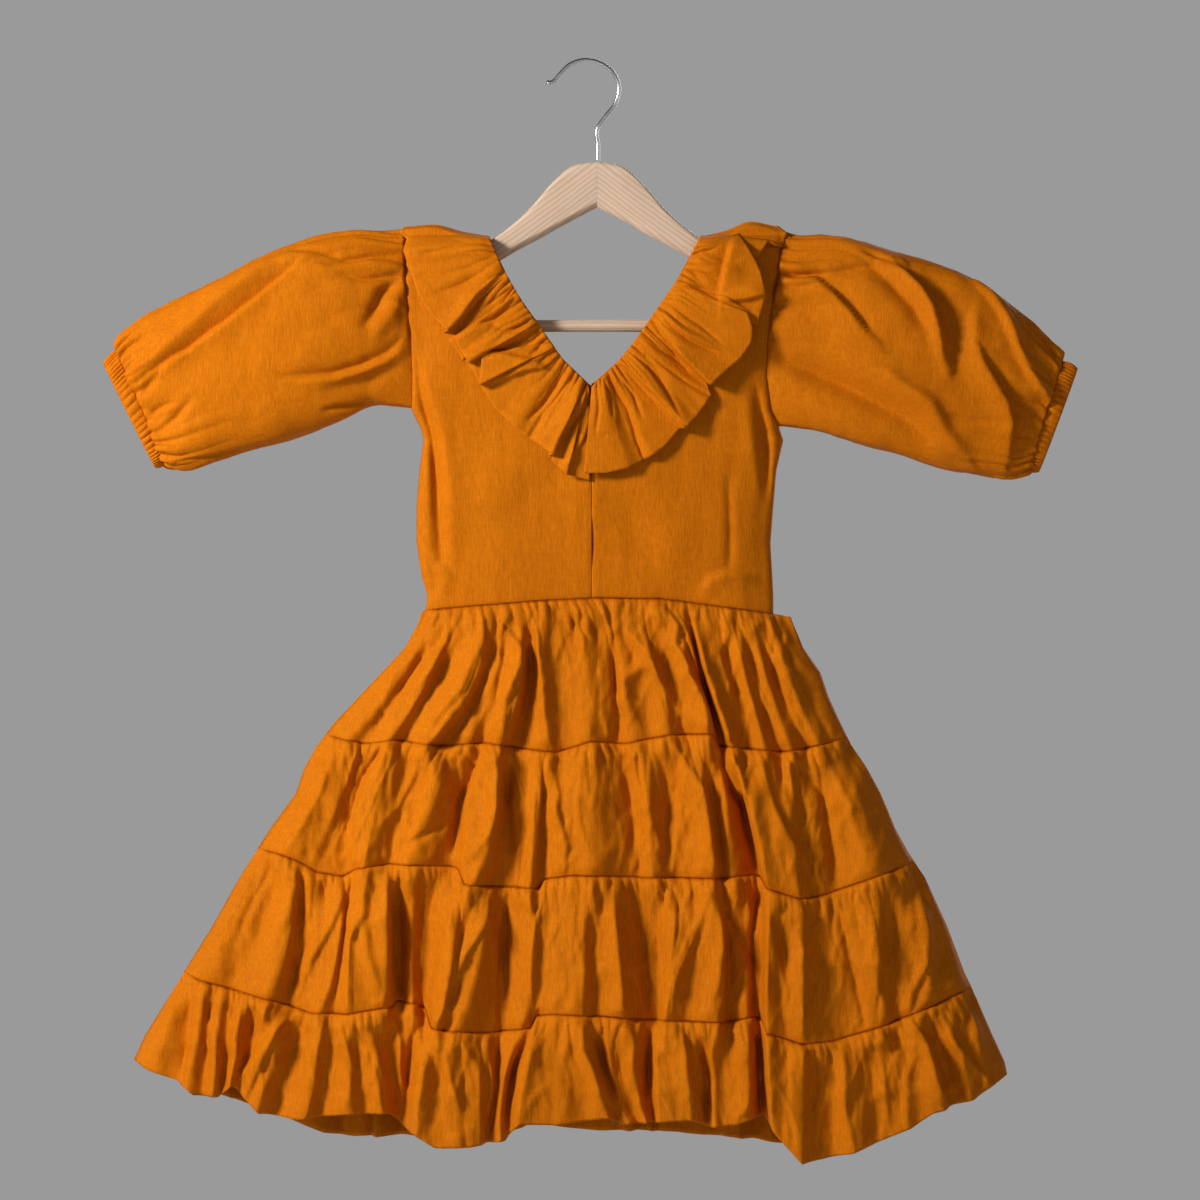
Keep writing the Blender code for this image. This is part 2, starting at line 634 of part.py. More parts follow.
def bodice_normals(points, side, half, down):
    """Outward normals of a bodice section, which closes on its side seam and stays open at the armhole."""
    front = [Vector((p.x, p.y * side, p.z)) for p in points]
    if down <= SHOULDER_DOWN + 4:
        return [Vector((0, -side, 0)) for _ in points]
    underarm, outward = (UNDERARM_LEFT, -1) if half == "left" else (UNDERARM_RIGHT, 1)
    outer = (outward, 0, 0) if down > underarm else (0, -1, 0)
    ends = (outer, (0, -1, 0)) if half == "left" else ((0, -1, 0), outer)
    return [Vector((n.x, n.y * side, 0)) for n in section_normals(front, ends)]


def build_bodice(side, word, half, finish, collection):
    points, normals, shares = [], [], []
    for down in (WAIST_DOWN,) + BODICE_LEVELS:
        row = bodice_row(down, half)
        lift = SEAM_GAP * 2 if down == WAIST_DOWN else 0.0
        line = [point_of(spot, side, lift) for spot in row]
        points.append(line)
        normals.append(bodice_normals(line, side, half, down))
        shares.append([spot.place for spot in row])
    wall(f"bodice_{word}_{half}", points, shares, normals, finish, collection)


# Sleeves and cuffs

RING_POINTS = 38


def pleat(angle, count, depth, phase):
    return depth * (0.5 + 0.5 * math.cos(count * angle + phase)) - depth / 2


def sleeve_ring(limb, ripple_depth, ripples, phase):
    """A ring of the flattened sleeve: round from its top edge over the front to its low edge and back."""
    top = Vector((across(limb.top_across), 0, height(limb.top_down)))
    low = Vector((across(limb.low_across), 0, height(limb.low_down)))
    middle, reach = (top + low) / 2, (top - low) / 2
    ring = []
    for i in range(RING_POINTS):
        angle = 2 * math.pi * i / RING_POINTS
        up, out = math.cos(angle), math.sin(angle)
        up = math.copysign(abs(up) ** 0.85, up)
        out = math.copysign(abs(out) ** 0.85, out)
        swell = 1 + pleat(angle, ripples, ripple_depth, phase)
        ring.append(middle + reach * up + Vector((0, -limb.depth * out * swell, 0)))
    return ring


def at_armhole(point, outward):
    """The point of a sleeve's first ring, moved on to the armhole's edge at its own height."""
    down = HOOK_AT[1] - point.z / UNIT
    edge = armhole_edge(down, outward)
    depth = bodice_depth(edge, down) * min(abs(point.y) / 0.003, 1.0)
    return Vector((across(edge) + outward * SEAM_GAP * 2.5, math.copysign(depth, point.y), point.z))


def build_sleeve(name, table, outward, finish, collection):
    rings = []
    for k, limb in enumerate(table):
        share = k / (len(table) - 1)
        ripples = SLEEVE_PLEATS if share < 0.5 else CUFF_GATHERS
        depth = 0.28 * math.sin(math.pi * min(share * 2, 1)) if share < 0.5 else 0.30 * ease(share * 2 - 1)
        if k == len(table) - 1:
            depth = 0.12
        ring = sleeve_ring(limb, depth, ripples, 0.7)
        if k == 0:
            ring = [at_armhole(point, outward) for point in ring]
        if k == len(table) - 1:
            ring = [p - Vector((outward * SEAM_GAP, 0, 0)) for p in ring]
        rings.append(ring)
    normals = ring_normals(rings)
    shares = [list(range(RING_POINTS))] * len(rings)
    wall(name, rings, shares, normals, finish, collection, closed=True)


def build_cuff(name, table, outward, finish, collection):
    first, last = table
    halfway = Limb(*[(a + b) / 2 for a, b in zip(first, last)])
    rings = []
    for k, limb in enumerate((first, halfway, last)):
        ring = sleeve_ring(limb, 0.12 if k == 0 else 0.22, CUFF_GATHERS, 0.7)
        if k == 0:
            ring = [p + Vector((outward * SEAM_GAP, 0, 0)) for p in ring]
        rings.append(ring)
    normals = ring_normals(rings)
    shares = [list(range(RING_POINTS))] * len(rings)
    wall(name, rings, shares, normals, finish, collection, closed=True)


def ring_normals(rings):
    """Outward normals of rings, square to each ring within its own plane."""
    found = []
    for ring in rings:
        middle = sum(ring, Vector((0, 0, 0))) / len(ring)
        line = []
        for i, point in enumerate(ring):
            step = ring[(i + 1) % len(ring)] - ring[i - 1]
            edge = ring[0] - ring[len(ring) // 2]
            plane = edge.cross(Vector((0, 1, 0))).normalized()
            normal = step.cross(plane).normalized()
            if normal.dot(point - middle) < 0:
                normal = -normal
            line.append(normal)
        found.append(line)
    return found


# Neck ruffle


def share_lengths(points):
    steps = [0.0]
    for a, b in zip(points, points[1:]):
        steps.append(steps[-1] + (b - a).length)
    return [step / steps[-1] for step in steps]


def along(points, shares, share):
    return Vector(tuple(float(np.interp(share, shares, [p[k] for p in points])) for k in range(3)))


FRILL_ROWS = (0.0, 0.18, 0.55, 1.0)
SHOULDER_FLUTES = [Flute(0.0, 0.0, 0), Flute(0.007, 0.007, 0), Flute(0.02, 0.02, 0)]


def build_ruffle(name, table, flutes, side, finish, collection):
    """A ruffle sewn to the neckline, lying on the bodice, with flutes that open towards its free edge."""
    neck = [Vector((row.neck_across, row.neck_down, 0)) for row in table]
    edge = [Vector((row.edge_across, row.edge_down, 0)) for row in table]
    neck_shares, edge_shares = share_lengths(neck), share_lengths(edge)
    ends = SHOULDER_FLUTES + flutes + [Flute(1.0, 1.0, 2)]
    rows = []
    for share in FRILL_ROWS:
        line = []
        for flute in ends:
            start = along(neck, neck_shares, flute.at_neck)
            finish_at = along(edge, edge_shares, flute.at_edge)
            place = start.lerp(finish_at, share)
            closing = ease((place.y - SHOULDER_DOWN + 6) * UNIT / 0.016)
            lift = RUFFLE_SEAM_LIFT + (RUFFLE_LIFT - RUFFLE_SEAM_LIFT) * ease(share * 4)
            lift += RUFFLE_SHOULDER_LIFT * (1 - closing)
            rise = flute.rise * MILLIMETRE * share**0.7
            depth = bodice_depth(place.x, max(place.y, SHOULDER_DOWN + 0.5)) + lift + rise * closing
            depth = max(depth, WALL / 2 + SEAM_GAP / 2)
            line.append(Vector((across(place.x), -depth * side, height(place.y))))
        rows.append(line)
    normals = surface_normals(rows, side)
    for line in normals:
        line[0] = Vector((0, -side, 0))
    shares = [list(range(len(line))) for line in rows]
    wall(name, rows, shares, normals, finish, collection)


# Hanger


def smooth_path(points, per_span):
    """Points of a Catmull-Rom curve through the given ones."""
    found = []
    for i in range(len(points) - 1):
        a, b = points[max(i - 1, 0)], points[i]
        c, d = points[i + 1], points[min(i + 2, len(points) - 1)]
        for k in range(per_span):
            t = k / per_span
            bend = (2 * a - 5 * b + 4 * c - d) * t**2 + (3 * b - a - 3 * c + d) * t**3
            found.append((2 * b + (c - a) * t + bend) / 2)
    return found + [points[-1]]


def build_arm(word, finish, collection):
    """One arm of the hanger: a flat outline, half its thickness each way, with rounded edges."""
    turn = 1 if word == "left" else -1
    gap = SEAM_GAP / 2
    outline = []
    for line in ARM_TOP + ARM_LOW:
        at = ARM_MIDDLE - turn * (ARM_MIDDLE - line.across)
        x = across(at)
        if line.across == ARM_MIDDLE:
            x = across(ARM_MIDDLE) - turn * gap
        outline.append(Vector((x, 0, height(line.down))))
    low_middle, top_middle = outline[-1], outline[0]
    rounded = smooth_path(outline[: len(ARM_TOP)], 2) + smooth_path(outline[len(ARM_TOP) :], 2)
    rounded[0], rounded[-1] = top_middle, low_middle
    curve = bpy.data.curves.new(f"hanger_arm_{word}", "CURVE")
    curve.dimensions = "2D"
    curve.fill_mode = "BOTH"
    curve.extrude = HANGER_THICKNESS / 2 - 0.0015
    curve.bevel_depth = 0.0015
    curve.bevel_resolution = 1
    curve.offset = -0.0015
    spline = curve.splines.new("POLY")
    spline.points.add(len(rounded) - 1)
    for place, point in zip(rounded, spline.points):
        point.co = (place.x, place.z, 0, 1)
    spline.use_cyclic_u = True
    arm = add_object(f"hanger_arm_{word}", curve, finish, collection)
    arm.rotation_euler = (math.radians(90), 0, 0)


def build_bar(finish, collection):
    """The round bar between the arms, held a little inside the dress's side seams."""
    left, right = (across(at) for at in BAR_REACH)
    bpy.ops.mesh.primitive_cylinder_add(
        vertices=16,
        radius=BAR_DIAMETER / 2,
        depth=right - left,
        location=((left + right) / 2, 0, height(BAR_DOWN)),
        rotation=(0, math.radians(90), 0),
    )
    bar = bpy.context.object
    bar.name = "hanger_bar"
    bar.data.materials.append(finish)
    for other in list(bar.users_collection):
        other.objects.unlink(bar)
    collection.objects.link(bar)


def build_hook(finish, collection):
    curve = bpy.data.curves.new("hanger_hook", "CURVE")
    curve.dimensions = "3D"
    curve.bevel_depth = HOOK_WIRE / 2
    curve.bevel_resolution = 2
    curve.use_fill_caps = True
    path = smooth_path([Vector((across(line.across), 0, height(line.down))) for line in HOOK_PATH], 3)
    spline = curve.splines.new("POLY")
    spline.points.add(len(path) - 1)
    for place, point in zip(path, spline.points):
        point.co = (place.x, place.y, place.z, 1)
    add_object("hanger_hook", curve, finish, collection)


def main():
    clear_scene()
    collection = bpy.data.collections.new("tiered_dress")
    bpy.context.scene.collection.children.link(collection)
    cloth = material("cloth", ORANGE, 0.85)
    wood = material("wood", WOOD, 0.5)
    steel = material("steel", STEEL, 0.25, 1.0)
    for side, word in ((1, "front"), (-1, "back")):
        build_skirt(side, word, cloth, collection)
        for half in ("left", "right"):
            build_bodice(side, word, half, cloth, collection)
        build_ruffle(f"ruffle_{word}_left", LEFT_FRILL, LEFT_FLUTES, side, cloth, collection)
        build_ruffle(f"ruffle_{word}_right", RIGHT_FRILL, RIGHT_FLUTES, side, cloth, collection)
    build_sleeve("sleeve_left", LEFT_SLEEVE, -1, cloth, collection)
    build_sleeve("sleeve_right", RIGHT_SLEEVE, 1, cloth, collection)
    build_cuff("cuff_left", LEFT_CUFF, -1, cloth, collection)
    build_cuff("cuff_right", RIGHT_CUFF, 1, cloth, collection)
    build_arm("left", wood, collection)
    build_arm("right", wood, collection)
    build_bar(wood, collection)
    build_hook(steel, collection)


main()
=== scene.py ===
import math
from collections import namedtuple

import bmesh
import bpy
import numpy as np
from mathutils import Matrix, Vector


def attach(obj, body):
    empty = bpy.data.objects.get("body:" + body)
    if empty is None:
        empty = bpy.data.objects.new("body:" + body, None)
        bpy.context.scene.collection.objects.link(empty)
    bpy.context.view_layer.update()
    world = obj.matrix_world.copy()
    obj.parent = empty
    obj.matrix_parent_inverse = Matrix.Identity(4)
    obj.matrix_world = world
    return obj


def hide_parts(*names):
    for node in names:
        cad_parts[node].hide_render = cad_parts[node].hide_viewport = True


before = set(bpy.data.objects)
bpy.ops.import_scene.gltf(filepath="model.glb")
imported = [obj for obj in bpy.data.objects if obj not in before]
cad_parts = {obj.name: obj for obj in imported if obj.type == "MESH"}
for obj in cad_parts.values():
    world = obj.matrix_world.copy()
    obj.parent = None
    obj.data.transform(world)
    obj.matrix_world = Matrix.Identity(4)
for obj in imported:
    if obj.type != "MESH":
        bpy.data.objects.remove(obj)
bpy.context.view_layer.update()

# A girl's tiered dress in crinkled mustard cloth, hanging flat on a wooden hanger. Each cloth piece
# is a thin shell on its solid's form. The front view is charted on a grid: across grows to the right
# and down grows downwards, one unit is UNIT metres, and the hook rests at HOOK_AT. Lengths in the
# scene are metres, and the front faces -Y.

# Sizes shared with the solids
DRESS_LENGTH = 0.749
LENGTH_UNITS = 936
UNIT = DRESS_LENGTH / LENGTH_UNITS
HOOK_AT = (587, 62)
MILLIMETRE = 0.001
WALL = 0.0015
SEAM_GAP = 0.0003
WAIST_DEPTH = 0.015
CHEST_DEPTH = 0.018
ARMHOLE_DEPTH = 0.012
HEM_DEPTH = 0.040
SHOULDER_ROLL = 0.013
CENTRE_SEAM = 592
UNDERARM_LEFT = 410
UNDERARM_RIGHT = 430
SHOULDER_DOWN = 236
WAIST_DOWN = 606
SEAM_FADE = 0.4

# Sizes of the cloth itself
CLOTH = 0.0007
SEAM_DIP = 0.0011
SEAM_REACH = 0.0022
SIDE_SEAM = (CLOTH + SEAM_GAP) / 2
COLUMN_STEP = {1: 0.00125, -1: 0.0026}
BODICE_STEP = {1: 1.3 * COLUMN_STEP[1], -1: COLUMN_STEP[-1]}
ROW_STEP = {1: 0.0020, -1: 0.0032}

Edge = namedtuple("Edge", "down left right")
Line = namedtuple("Line", "across down")
Fold = namedtuple("Fold", "top middle foot rise")
Limb = namedtuple("Limb", "top_across top_down low_across low_down depth")
Flap = namedtuple("Flap", "neck across down rise")
Crease = namedtuple("Crease", "rise left right path")
Gather = namedtuple("Gather", "spacing rise reach")
Ripple = namedtuple("Ripple", "rise seed tilt wide long")
TIER_LEVELS = ((606, 742), (742, 872), (872, 1010), (1010, 1120))
FOLD_LEAN = 0.7
RIDGE_TILTS = (0.45, -0.30, 0.10)
RIDGE_RISE = 1.1
RIDGE_WIDE = 17
RIDGE_LONG = 46
RIDGE_SHARPNESS = 2.6
GATHER_SPACING = (8.5, 8.0, 8.0, 8.5)
SLEEVE_RINGS = 108
SLEEVE_ROUND = 232
CUFF_RIBS = 60
CUFF_ROUND = 420
RUFFLE_LIFT = 0.0032
RUFFLE_SEAM = 0.0021
SHOULDER_STAND = {"left": 9, "right": 14}
RUFFLE_GRID = {1: (12, 36), -1: (7, 24)}
RUFFLE_LAP = 0.0028
RUFFLE_SINK = 0.0006
RUFFLE_GATHERS = (Gather(4.2, 3.9, 0.024), Gather(8.5, 3.0, 0.048))
TIER_GATHERS = (Gather(1.0, 3.7, 0.019), Gather(2.1, 4.2, 0.060))
TIER_RIPPLES = (Ripple(1.0, 7, 0, 13, 40), Ripple(0.6, 17, 0, 5, 26), Ripple(1.0, 27, 0.35, 30, 36))
GATHER_START = 0.0022
CREASE_START = 0.012
CREASE_END = 0.008
SEAM_PUFF = 2.2 * MILLIMETRE
PUFF_START = 0.003
PUFF_REACH = 0.030
LOWER_SEAM = 0.6
SKIRT_TOP = 600
SKIRT_SPAN = 480
SIDE_FADE = 0.030
FOLD_CLEAR = 3
ROLL_UNITS = 20
BODICE_HALF = 170
WAIST_TURN = 480
CHEST_RISE = 150
CENTRE_DIP = 0.25 * MILLIMETRE
CENTRE_RIDGE = 0.2 * MILLIMETRE
BODICE_RIPPLES = (Ripple(1.7, 40, 0, 46, 60), Ripple(0.35, 49, 0, 10, 40))
HEAD_GIRTH = 340
HEAD_GATHERS = (Gather(8, 4.5, 0.030), Gather(19, 6.0, 0.080))
CUFF_GIRTH = 250
CUFF_GATHERS = (Gather(6, 3.4, 0.016), Gather(11, 4.6, 0.046))
ARMHOLE_BLEND = 0.030
SLEEVE_CREASE_GAIN = 1.7
RING_POWER = 0.85
CUFF_RINGS = 9
CUFF_BULGE = 0.6 * MILLIMETRE
CUFF_RIB_RISE = 2.2 * MILLIMETRE
CHART_MIDDLE = 600
CAMERA_DISTANCE = 4.0
LIT_AT = (0, 0, -0.45)
LIGHTS = [
    ("key", (-1.6, -1.25, 0.35), 0.45, 62), ("fill", (1.6, -2.3, 0.0), 1.8, 3.5),
    ("behind", (0.9, 2.4, 0.5), 1.8, 34),
]
CLOTH_DARK = (0.42, 0.102, 0.0022, 1)
CLOTH_LIGHT = (0.58, 0.155, 0.0034, 1)
WOOD_DARK = (0.49, 0.335, 0.225, 1)
WOOD_LIGHT = (0.62, 0.445, 0.315, 1)

# Side outlines of the bodice from the waist up to the shoulder: side seams, then armholes
BODICE_SIDES = [
    Edge(620, 424, 773), Edge(592, 428, 773), Edge(572, 422, 772), Edge(540, 417, 770),
    Edge(505, 417, 773), Edge(470, 420, 776), Edge(440, 424, 783), Edge(428, 421, 779),
    Edge(410, 412, 770), Edge(377, 413, 766), Edge(345, 412, 767), Edge(306, 408, 771),
    Edge(275, 406, 777), Edge(248, 406, 780), Edge(232, 407, 780),
]

# Neckline: a V, front and back alike
NECK_SIDES = [
    Edge(386, 590, 590), Edge(380, 584, 598), Edge(360, 563, 620), Edge(340, 549, 636),
    Edge(320, 535, 650), Edge(300, 521, 664), Edge(280, 509, 677), Edge(262, 500, 687),
    Edge(236, 489, 701),
]

# Side outlines of the skirt
SKIRT_SIDES = [
    Edge(598, 427, 786), Edge(612, 422, 789), Edge(624, 418, 793), Edge(648, 405, 803),
    Edge(672, 382, 820), Edge(696, 359, 828), Edge(720, 336, 839), Edge(744, 317, 851),
    Edge(768, 304, 867), Edge(792, 296, 880), Edge(828, 270, 895), Edge(852, 255, 908),
    Edge(876, 240, 924), Edge(924, 213, 946), Edge(972, 183, 964), Edge(984, 176, 970),
    Edge(1032, 146, 991), Edge(1060, 133, 1004), Edge(1090, 130, 1010),
]

WAIST = [
    Line(420, 611), Line(475, 606), Line(540, 601), Line(600, 598), Line(660, 599), Line(700, 604),
    Line(745, 610), Line(792, 617),
]

# Seams under each front tier
FRONT_SEAMS = [
    [
        Line(315, 731), Line(345, 739), Line(364, 743), Line(397, 739), Line(440, 745), Line(487, 742),
        Line(520, 747), Line(556, 752), Line(590, 741), Line(625, 743), Line(670, 734), Line(712, 733),
        Line(718, 745), Line(783, 751), Line(808, 747), Line(852, 736),
    ],
    [
        Line(252, 846), Line(283, 853), Line(303, 861), Line(320, 871), Line(345, 875), Line(358, 867),
        Line(392, 862), Line(455, 865), Line(460, 867), Line(465, 881), Line(474, 883), Line(535, 886),
        Line(540, 885), Line(545, 877), Line(575, 873), Line(655, 876), Line(720, 876), Line(752, 873),
        Line(760, 875), Line(765, 886), Line(772, 888), Line(798, 896), Line(825, 892), Line(880, 873),
        Line(915, 860),
    ],
    [
        Line(178, 969), Line(205, 979), Line(240, 988), Line(279, 998), Line(312, 1009),
        Line(350, 1010), Line(386, 1004), Line(394, 1003), Line(398, 997), Line(418, 1001),
        Line(427, 1005), Line(433, 1023), Line(438, 1025), Line(490, 1029), Line(532, 1024),
        Line(538, 1012), Line(553, 1010), Line(600, 1012), Line(650, 1016), Line(725, 1018),
        Line(752, 1013), Line(760, 1015), Line(765, 1029), Line(774, 1031), Line(800, 1039),
        Line(830, 1037), Line(880, 1022), Line(925, 1005), Line(972, 985),
    ],
    [
        Line(130, 1056), Line(150, 1067), Line(180, 1077), Line(196, 1091), Line(222, 1093),
        Line(236, 1081), Line(262, 1108), Line(300, 1114), Line(345, 1109), Line(392, 1108),
        Line(410, 1126), Line(437, 1142), Line(470, 1141), Line(506, 1135), Line(520, 1118),
        Line(560, 1119), Line(608, 1112), Line(622, 1119), Line(690, 1114), Line(708, 1122),
        Line(735, 1119), Line(760, 1110), Line(776, 1130), Line(800, 1157), Line(850, 1147),
        Line(908, 1123), Line(928, 1108), Line(970, 1096), Line(1009, 1072),
    ],
]

# Seams under each back tier, and the back hem, which hangs a little lower than the front
BACK_SEAMS = [
    [
        Line(315, 731), Line(400, 741), Line(500, 746), Line(600, 744), Line(700, 747), Line(790, 745),
        Line(852, 736),
    ],
    [
        Line(252, 846), Line(330, 862), Line(430, 874), Line(540, 880), Line(650, 878), Line(760, 884),
        Line(850, 876), Line(915, 860),
    ],
    [
        Line(178, 969), Line(250, 993), Line(350, 1015), Line(450, 1024), Line(560, 1022),
        Line(680, 1024), Line(800, 1028), Line(890, 1014), Line(972, 985),
    ],
    [
        Line(130, 1056), Line(160, 1077), Line(200, 1094), Line(235, 1105), Line(270, 1119),
        Line(320, 1138), Line(350, 1143), Line(400, 1140), Line(450, 1143), Line(505, 1139),
        Line(530, 1128), Line(570, 1134), Line(600, 1137), Line(645, 1135), Line(690, 1140),
        Line(740, 1142), Line(790, 1150), Line(850, 1140), Line(910, 1114), Line(960, 1094),
        Line(1009, 1072),
    ],
]

# Folds of each tier, left to right: where the line of a crest or a hollow crosses the top, middle and
# foot of the tier, and how far in millimetres it rises from the tier's smooth form.
TIER_FOLDS = [
    [
        Fold(436, 400, 348, 4), Fold(443, 412, 362, -3), Fold(453, 430, 390, 6),
        Fold(463, 441, 404, -4), Fold(480, 474, 428, 9), Fold(490, 485, 442, -5),
        Fold(497, 496, 468, 3), Fold(504, 503, 480, -2), Fold(513, 522, 500, 8),
        Fold(524, 531, 514, -7), Fold(535, 542, 546, 3), Fold(547, 556, 562, -3),
        Fold(572, 586, 590, 6), Fold(598, 610, 617, -6), Fold(610, 622, 634, 4), Fold(618, 636, 650, 1),
        Fold(632, 654, 668, 7), Fold(652, 668, 684, -3), Fold(676, 690, 708, 9),
        Fold(685, 702, 722, -9), Fold(694, 710, 732, 8), Fold(712, 730, 746, -1),
        Fold(727, 744, 764, 6), Fold(738, 754, 780, -5), Fold(748, 766, 790, 6),
        Fold(758, 776, 806, -5), Fold(768, 788, 818, 5), Fold(778, 798, 832, -2),
    ],
    [
        Fold(336, 318, 283, 5), Fold(354, 342, 322, -4), Fold(366, 352, 350, -6),
        Fold(398, 378, 366, 7), Fold(424, 404, 390, -4), Fold(452, 426, 410, 5),
        Fold(470, 462, 452, -9), Fold(489, 494, 472, 10), Fold(504, 508, 500, -7),
        Fold(526, 524, 518, -4), Fold(541, 536, 530, 4), Fold(547, 543, 540, -5),
        Fold(557, 556, 562, 2), Fold(586, 590, 592, 9), Fold(624, 633, 638, -5), Fold(640, 649, 652, 2),
        Fold(664, 678, 674, -7), Fold(688, 702, 712, 7), Fold(700, 714, 721, -4),
        Fold(713, 725, 732, 3), Fold(726, 744, 758, -11), Fold(736, 752, 768, 11),
        Fold(760, 778, 797, 12), Fold(786, 806, 816, 2), Fold(812, 827, 833, -1),
        Fold(832, 860, 876, 8), Fold(842, 880, 896, 1),
    ],
    [
        Fold(270, 242, 200, 5), Fold(284, 264, 234, -3), Fold(297, 290, 270, 7),
        Fold(305, 303, 292, -7), Fold(322, 318, 306, -3), Fold(344, 338, 322, 6),
        Fold(352, 347, 336, -1), Fold(367, 355, 352, 8), Fold(386, 388, 386, 5),
        Fold(397, 399, 402, -13), Fold(420, 414, 414, -3), Fold(438, 430, 424, -12),
        Fold(462, 450, 438, 10), Fold(472, 460, 446, 5), Fold(489, 478, 456, 12),
        Fold(498, 497, 492, -4), Fold(508, 504, 502, -10), Fold(534, 530, 522, 2),
        Fold(545, 541, 536, -4), Fold(560, 560, 556, 6), Fold(584, 582, 582, 9), Fold(595, 594, 596, 0),
        Fold(611, 617, 623, 7), Fold(622, 632, 636, -3), Fold(652, 657, 655, -9),
        Fold(672, 674, 664, 6), Fold(694, 690, 684, 2), Fold(712, 720, 716, 9), Fold(724, 729, 728, -7),
        Fold(744, 748, 746, 1), Fold(758, 758, 758, -10), Fold(768, 766, 765, 11),
        Fold(780, 778, 784, 7), Fold(795, 801, 801, 12), Fold(820, 832, 842, 2), Fold(862, 874, 878, 7),
        Fold(880, 892, 896, -1), Fold(900, 928, 914, 6), Fold(908, 938, 946, 0),
    ],
    [
        Fold(188, 166, 148, 4), Fold(196, 190, 180, -4), Fold(205, 200, 190, 5),
        Fold(213, 210, 206, -4), Fold(221, 220, 216, 3), Fold(230, 230, 224, -5),
        Fold(243, 241, 232, 4), Fold(257, 252, 241, -5), Fold(272, 262, 249, 2), Fold(288, 276, 260, 8),
        Fold(304, 292, 272, -5), Fold(322, 316, 306, 7), Fold(333, 328, 320, -3),
        Fold(348, 349, 352, 6), Fold(357, 362, 368, -1), Fold(371, 379, 388, 6),
        Fold(396, 397, 398, -12), Fold(420, 412, 408, -6), Fold(436, 424, 418, 8),
        Fold(446, 440, 436, 5), Fold(456, 456, 462, 10), Fold(480, 480, 480, 5),
        Fold(494, 492, 490, -9), Fold(516, 502, 500, 3), Fold(530, 514, 510, -6),
        Fold(546, 530, 520, 9), Fold(564, 562, 566, 7), Fold(572, 574, 582, 3), Fold(583, 592, 608, 9),
        Fold(594, 604, 618, -6), Fold(606, 612, 628, 2), Fold(620, 620, 638, -4),
        Fold(634, 634, 646, 4), Fold(648, 648, 652, -8), Fold(658, 658, 660, 8), Fold(676, 684, 690, 8),
        Fold(696, 702, 704, -8), Fold(710, 710, 714, 4), Fold(722, 724, 724, -1),
        Fold(738, 746, 744, 6), Fold(756, 758, 762, -11), Fold(768, 768, 773, 10),
        Fold(784, 788, 798, 12), Fold(806, 808, 812, 4), Fold(820, 824, 828, 0), Fold(840, 850, 856, 9),
        Fold(860, 870, 876, 1), Fold(882, 894, 902, 4), Fold(906, 926, 938, 11),
        Fold(918, 938, 950, -3), Fold(932, 956, 968, 5), Fold(944, 968, 980, -1),
        Fold(954, 980, 992, 5),
    ],
]

LEFT_SLEEVE = [
    Limb(405, 238, 411, 408, 0.012), Limb(388, 237, 394, 406, 0.017), Limb(352, 234, 372, 406, 0.023),
    Limb(310, 240, 335, 423, 0.028), Limb(265, 259, 290, 440, 0.030), Limb(220, 280, 245, 453, 0.029),
    Limb(180, 299, 210, 464, 0.026), Limb(145, 318, 188, 470, 0.021), Limb(123, 338, 173, 466, 0.015),
    Limb(117, 350, 166, 460, 0.011),
]
LEFT_CUFF = [LEFT_SLEEVE[-1], Limb(104, 364, 155, 467, 0.0105)]

RIGHT_SLEEVE = [
    Limb(781, 238, 778, 426, 0.012), Limb(800, 240, 796, 427, 0.017), Limb(840, 238, 835, 435, 0.023),
    Limb(880, 248, 868, 446, 0.028), Limb(925, 260, 905, 457, 0.030), Limb(965, 275, 945, 469, 0.029),
    Limb(1003, 300, 980, 475, 0.026), Limb(1032, 326, 1006, 477, 0.020),
    Limb(1051, 349, 1022, 472, 0.014), Limb(1062, 362, 1027, 467, 0.011),
]
RIGHT_CUFF = [RIGHT_SLEEVE[-1], Limb(1077, 369, 1039, 471, 0.0105)]


# Neck ruffle: its sewn edge on the neckline, from the shoulder down to the point of the V
LEFT_NECK = [
    Line(489, 236), Line(496, 252), Line(505, 272), Line(521, 300), Line(535, 320), Line(549, 340),
    Line(563, 360), Line(576, 373), Line(585, 382), Line(589, 388),
]
RIGHT_NECK = [
    Line(701, 236), Line(694, 250), Line(683, 272), Line(664, 300), Line(650, 320), Line(636, 340),
    Line(620, 360), Line(607, 374), Line(597, 383), Line(592, 388),
]

# Free edge of the ruffle: the share along the neckline that each point hangs from, its place, and how
# far in millimetres it stands off. Where the edge turns back, the strip is tucked under a lip.
LEFT_FLAPS = [
    Flap(0.00, 405, 233, 3), Flap(0.03, 400, 238, 8), Flap(0.06, 407, 244, 2.5),
    Flap(0.10, 404, 254, 6), Flap(0.14, 410, 268, 3), Flap(0.19, 420, 298, 6), Flap(0.215, 433, 318, 8),
    Flap(0.235, 449, 333, 10), Flap(0.25, 444, 334, 1.5), Flap(0.29, 454, 347, 2.5),
    Flap(0.33, 464, 363, 2), Flap(0.36, 455, 338, 6), Flap(0.45, 461, 351, 7),
    Flap(0.55, 470, 365, 9.5), Flap(0.575, 466, 362, 1.5), Flap(0.62, 474, 373, 2.5),
    Flap(0.66, 480, 385, 2), Flap(0.685, 483, 354, 6), Flap(0.71, 481, 387, 8.5),
    Flap(0.725, 479, 384, 2), Flap(0.76, 497, 411, 3.5), Flap(0.80, 514, 427, 4.5),
    Flap(0.835, 526, 436, 4), Flap(0.85, 530, 439, 2.5), Flap(0.88, 536, 443, 5.5),
    Flap(0.93, 545, 450, 7.5), Flap(0.965, 554, 456, 10), Flap(0.972, 548, 456, 2),
    Flap(0.978, 556, 466, 3), Flap(0.985, 568, 476, 6), Flap(0.99, 565, 475, 1.5),
    Flap(1.00, 590, 481, 1.5),
]
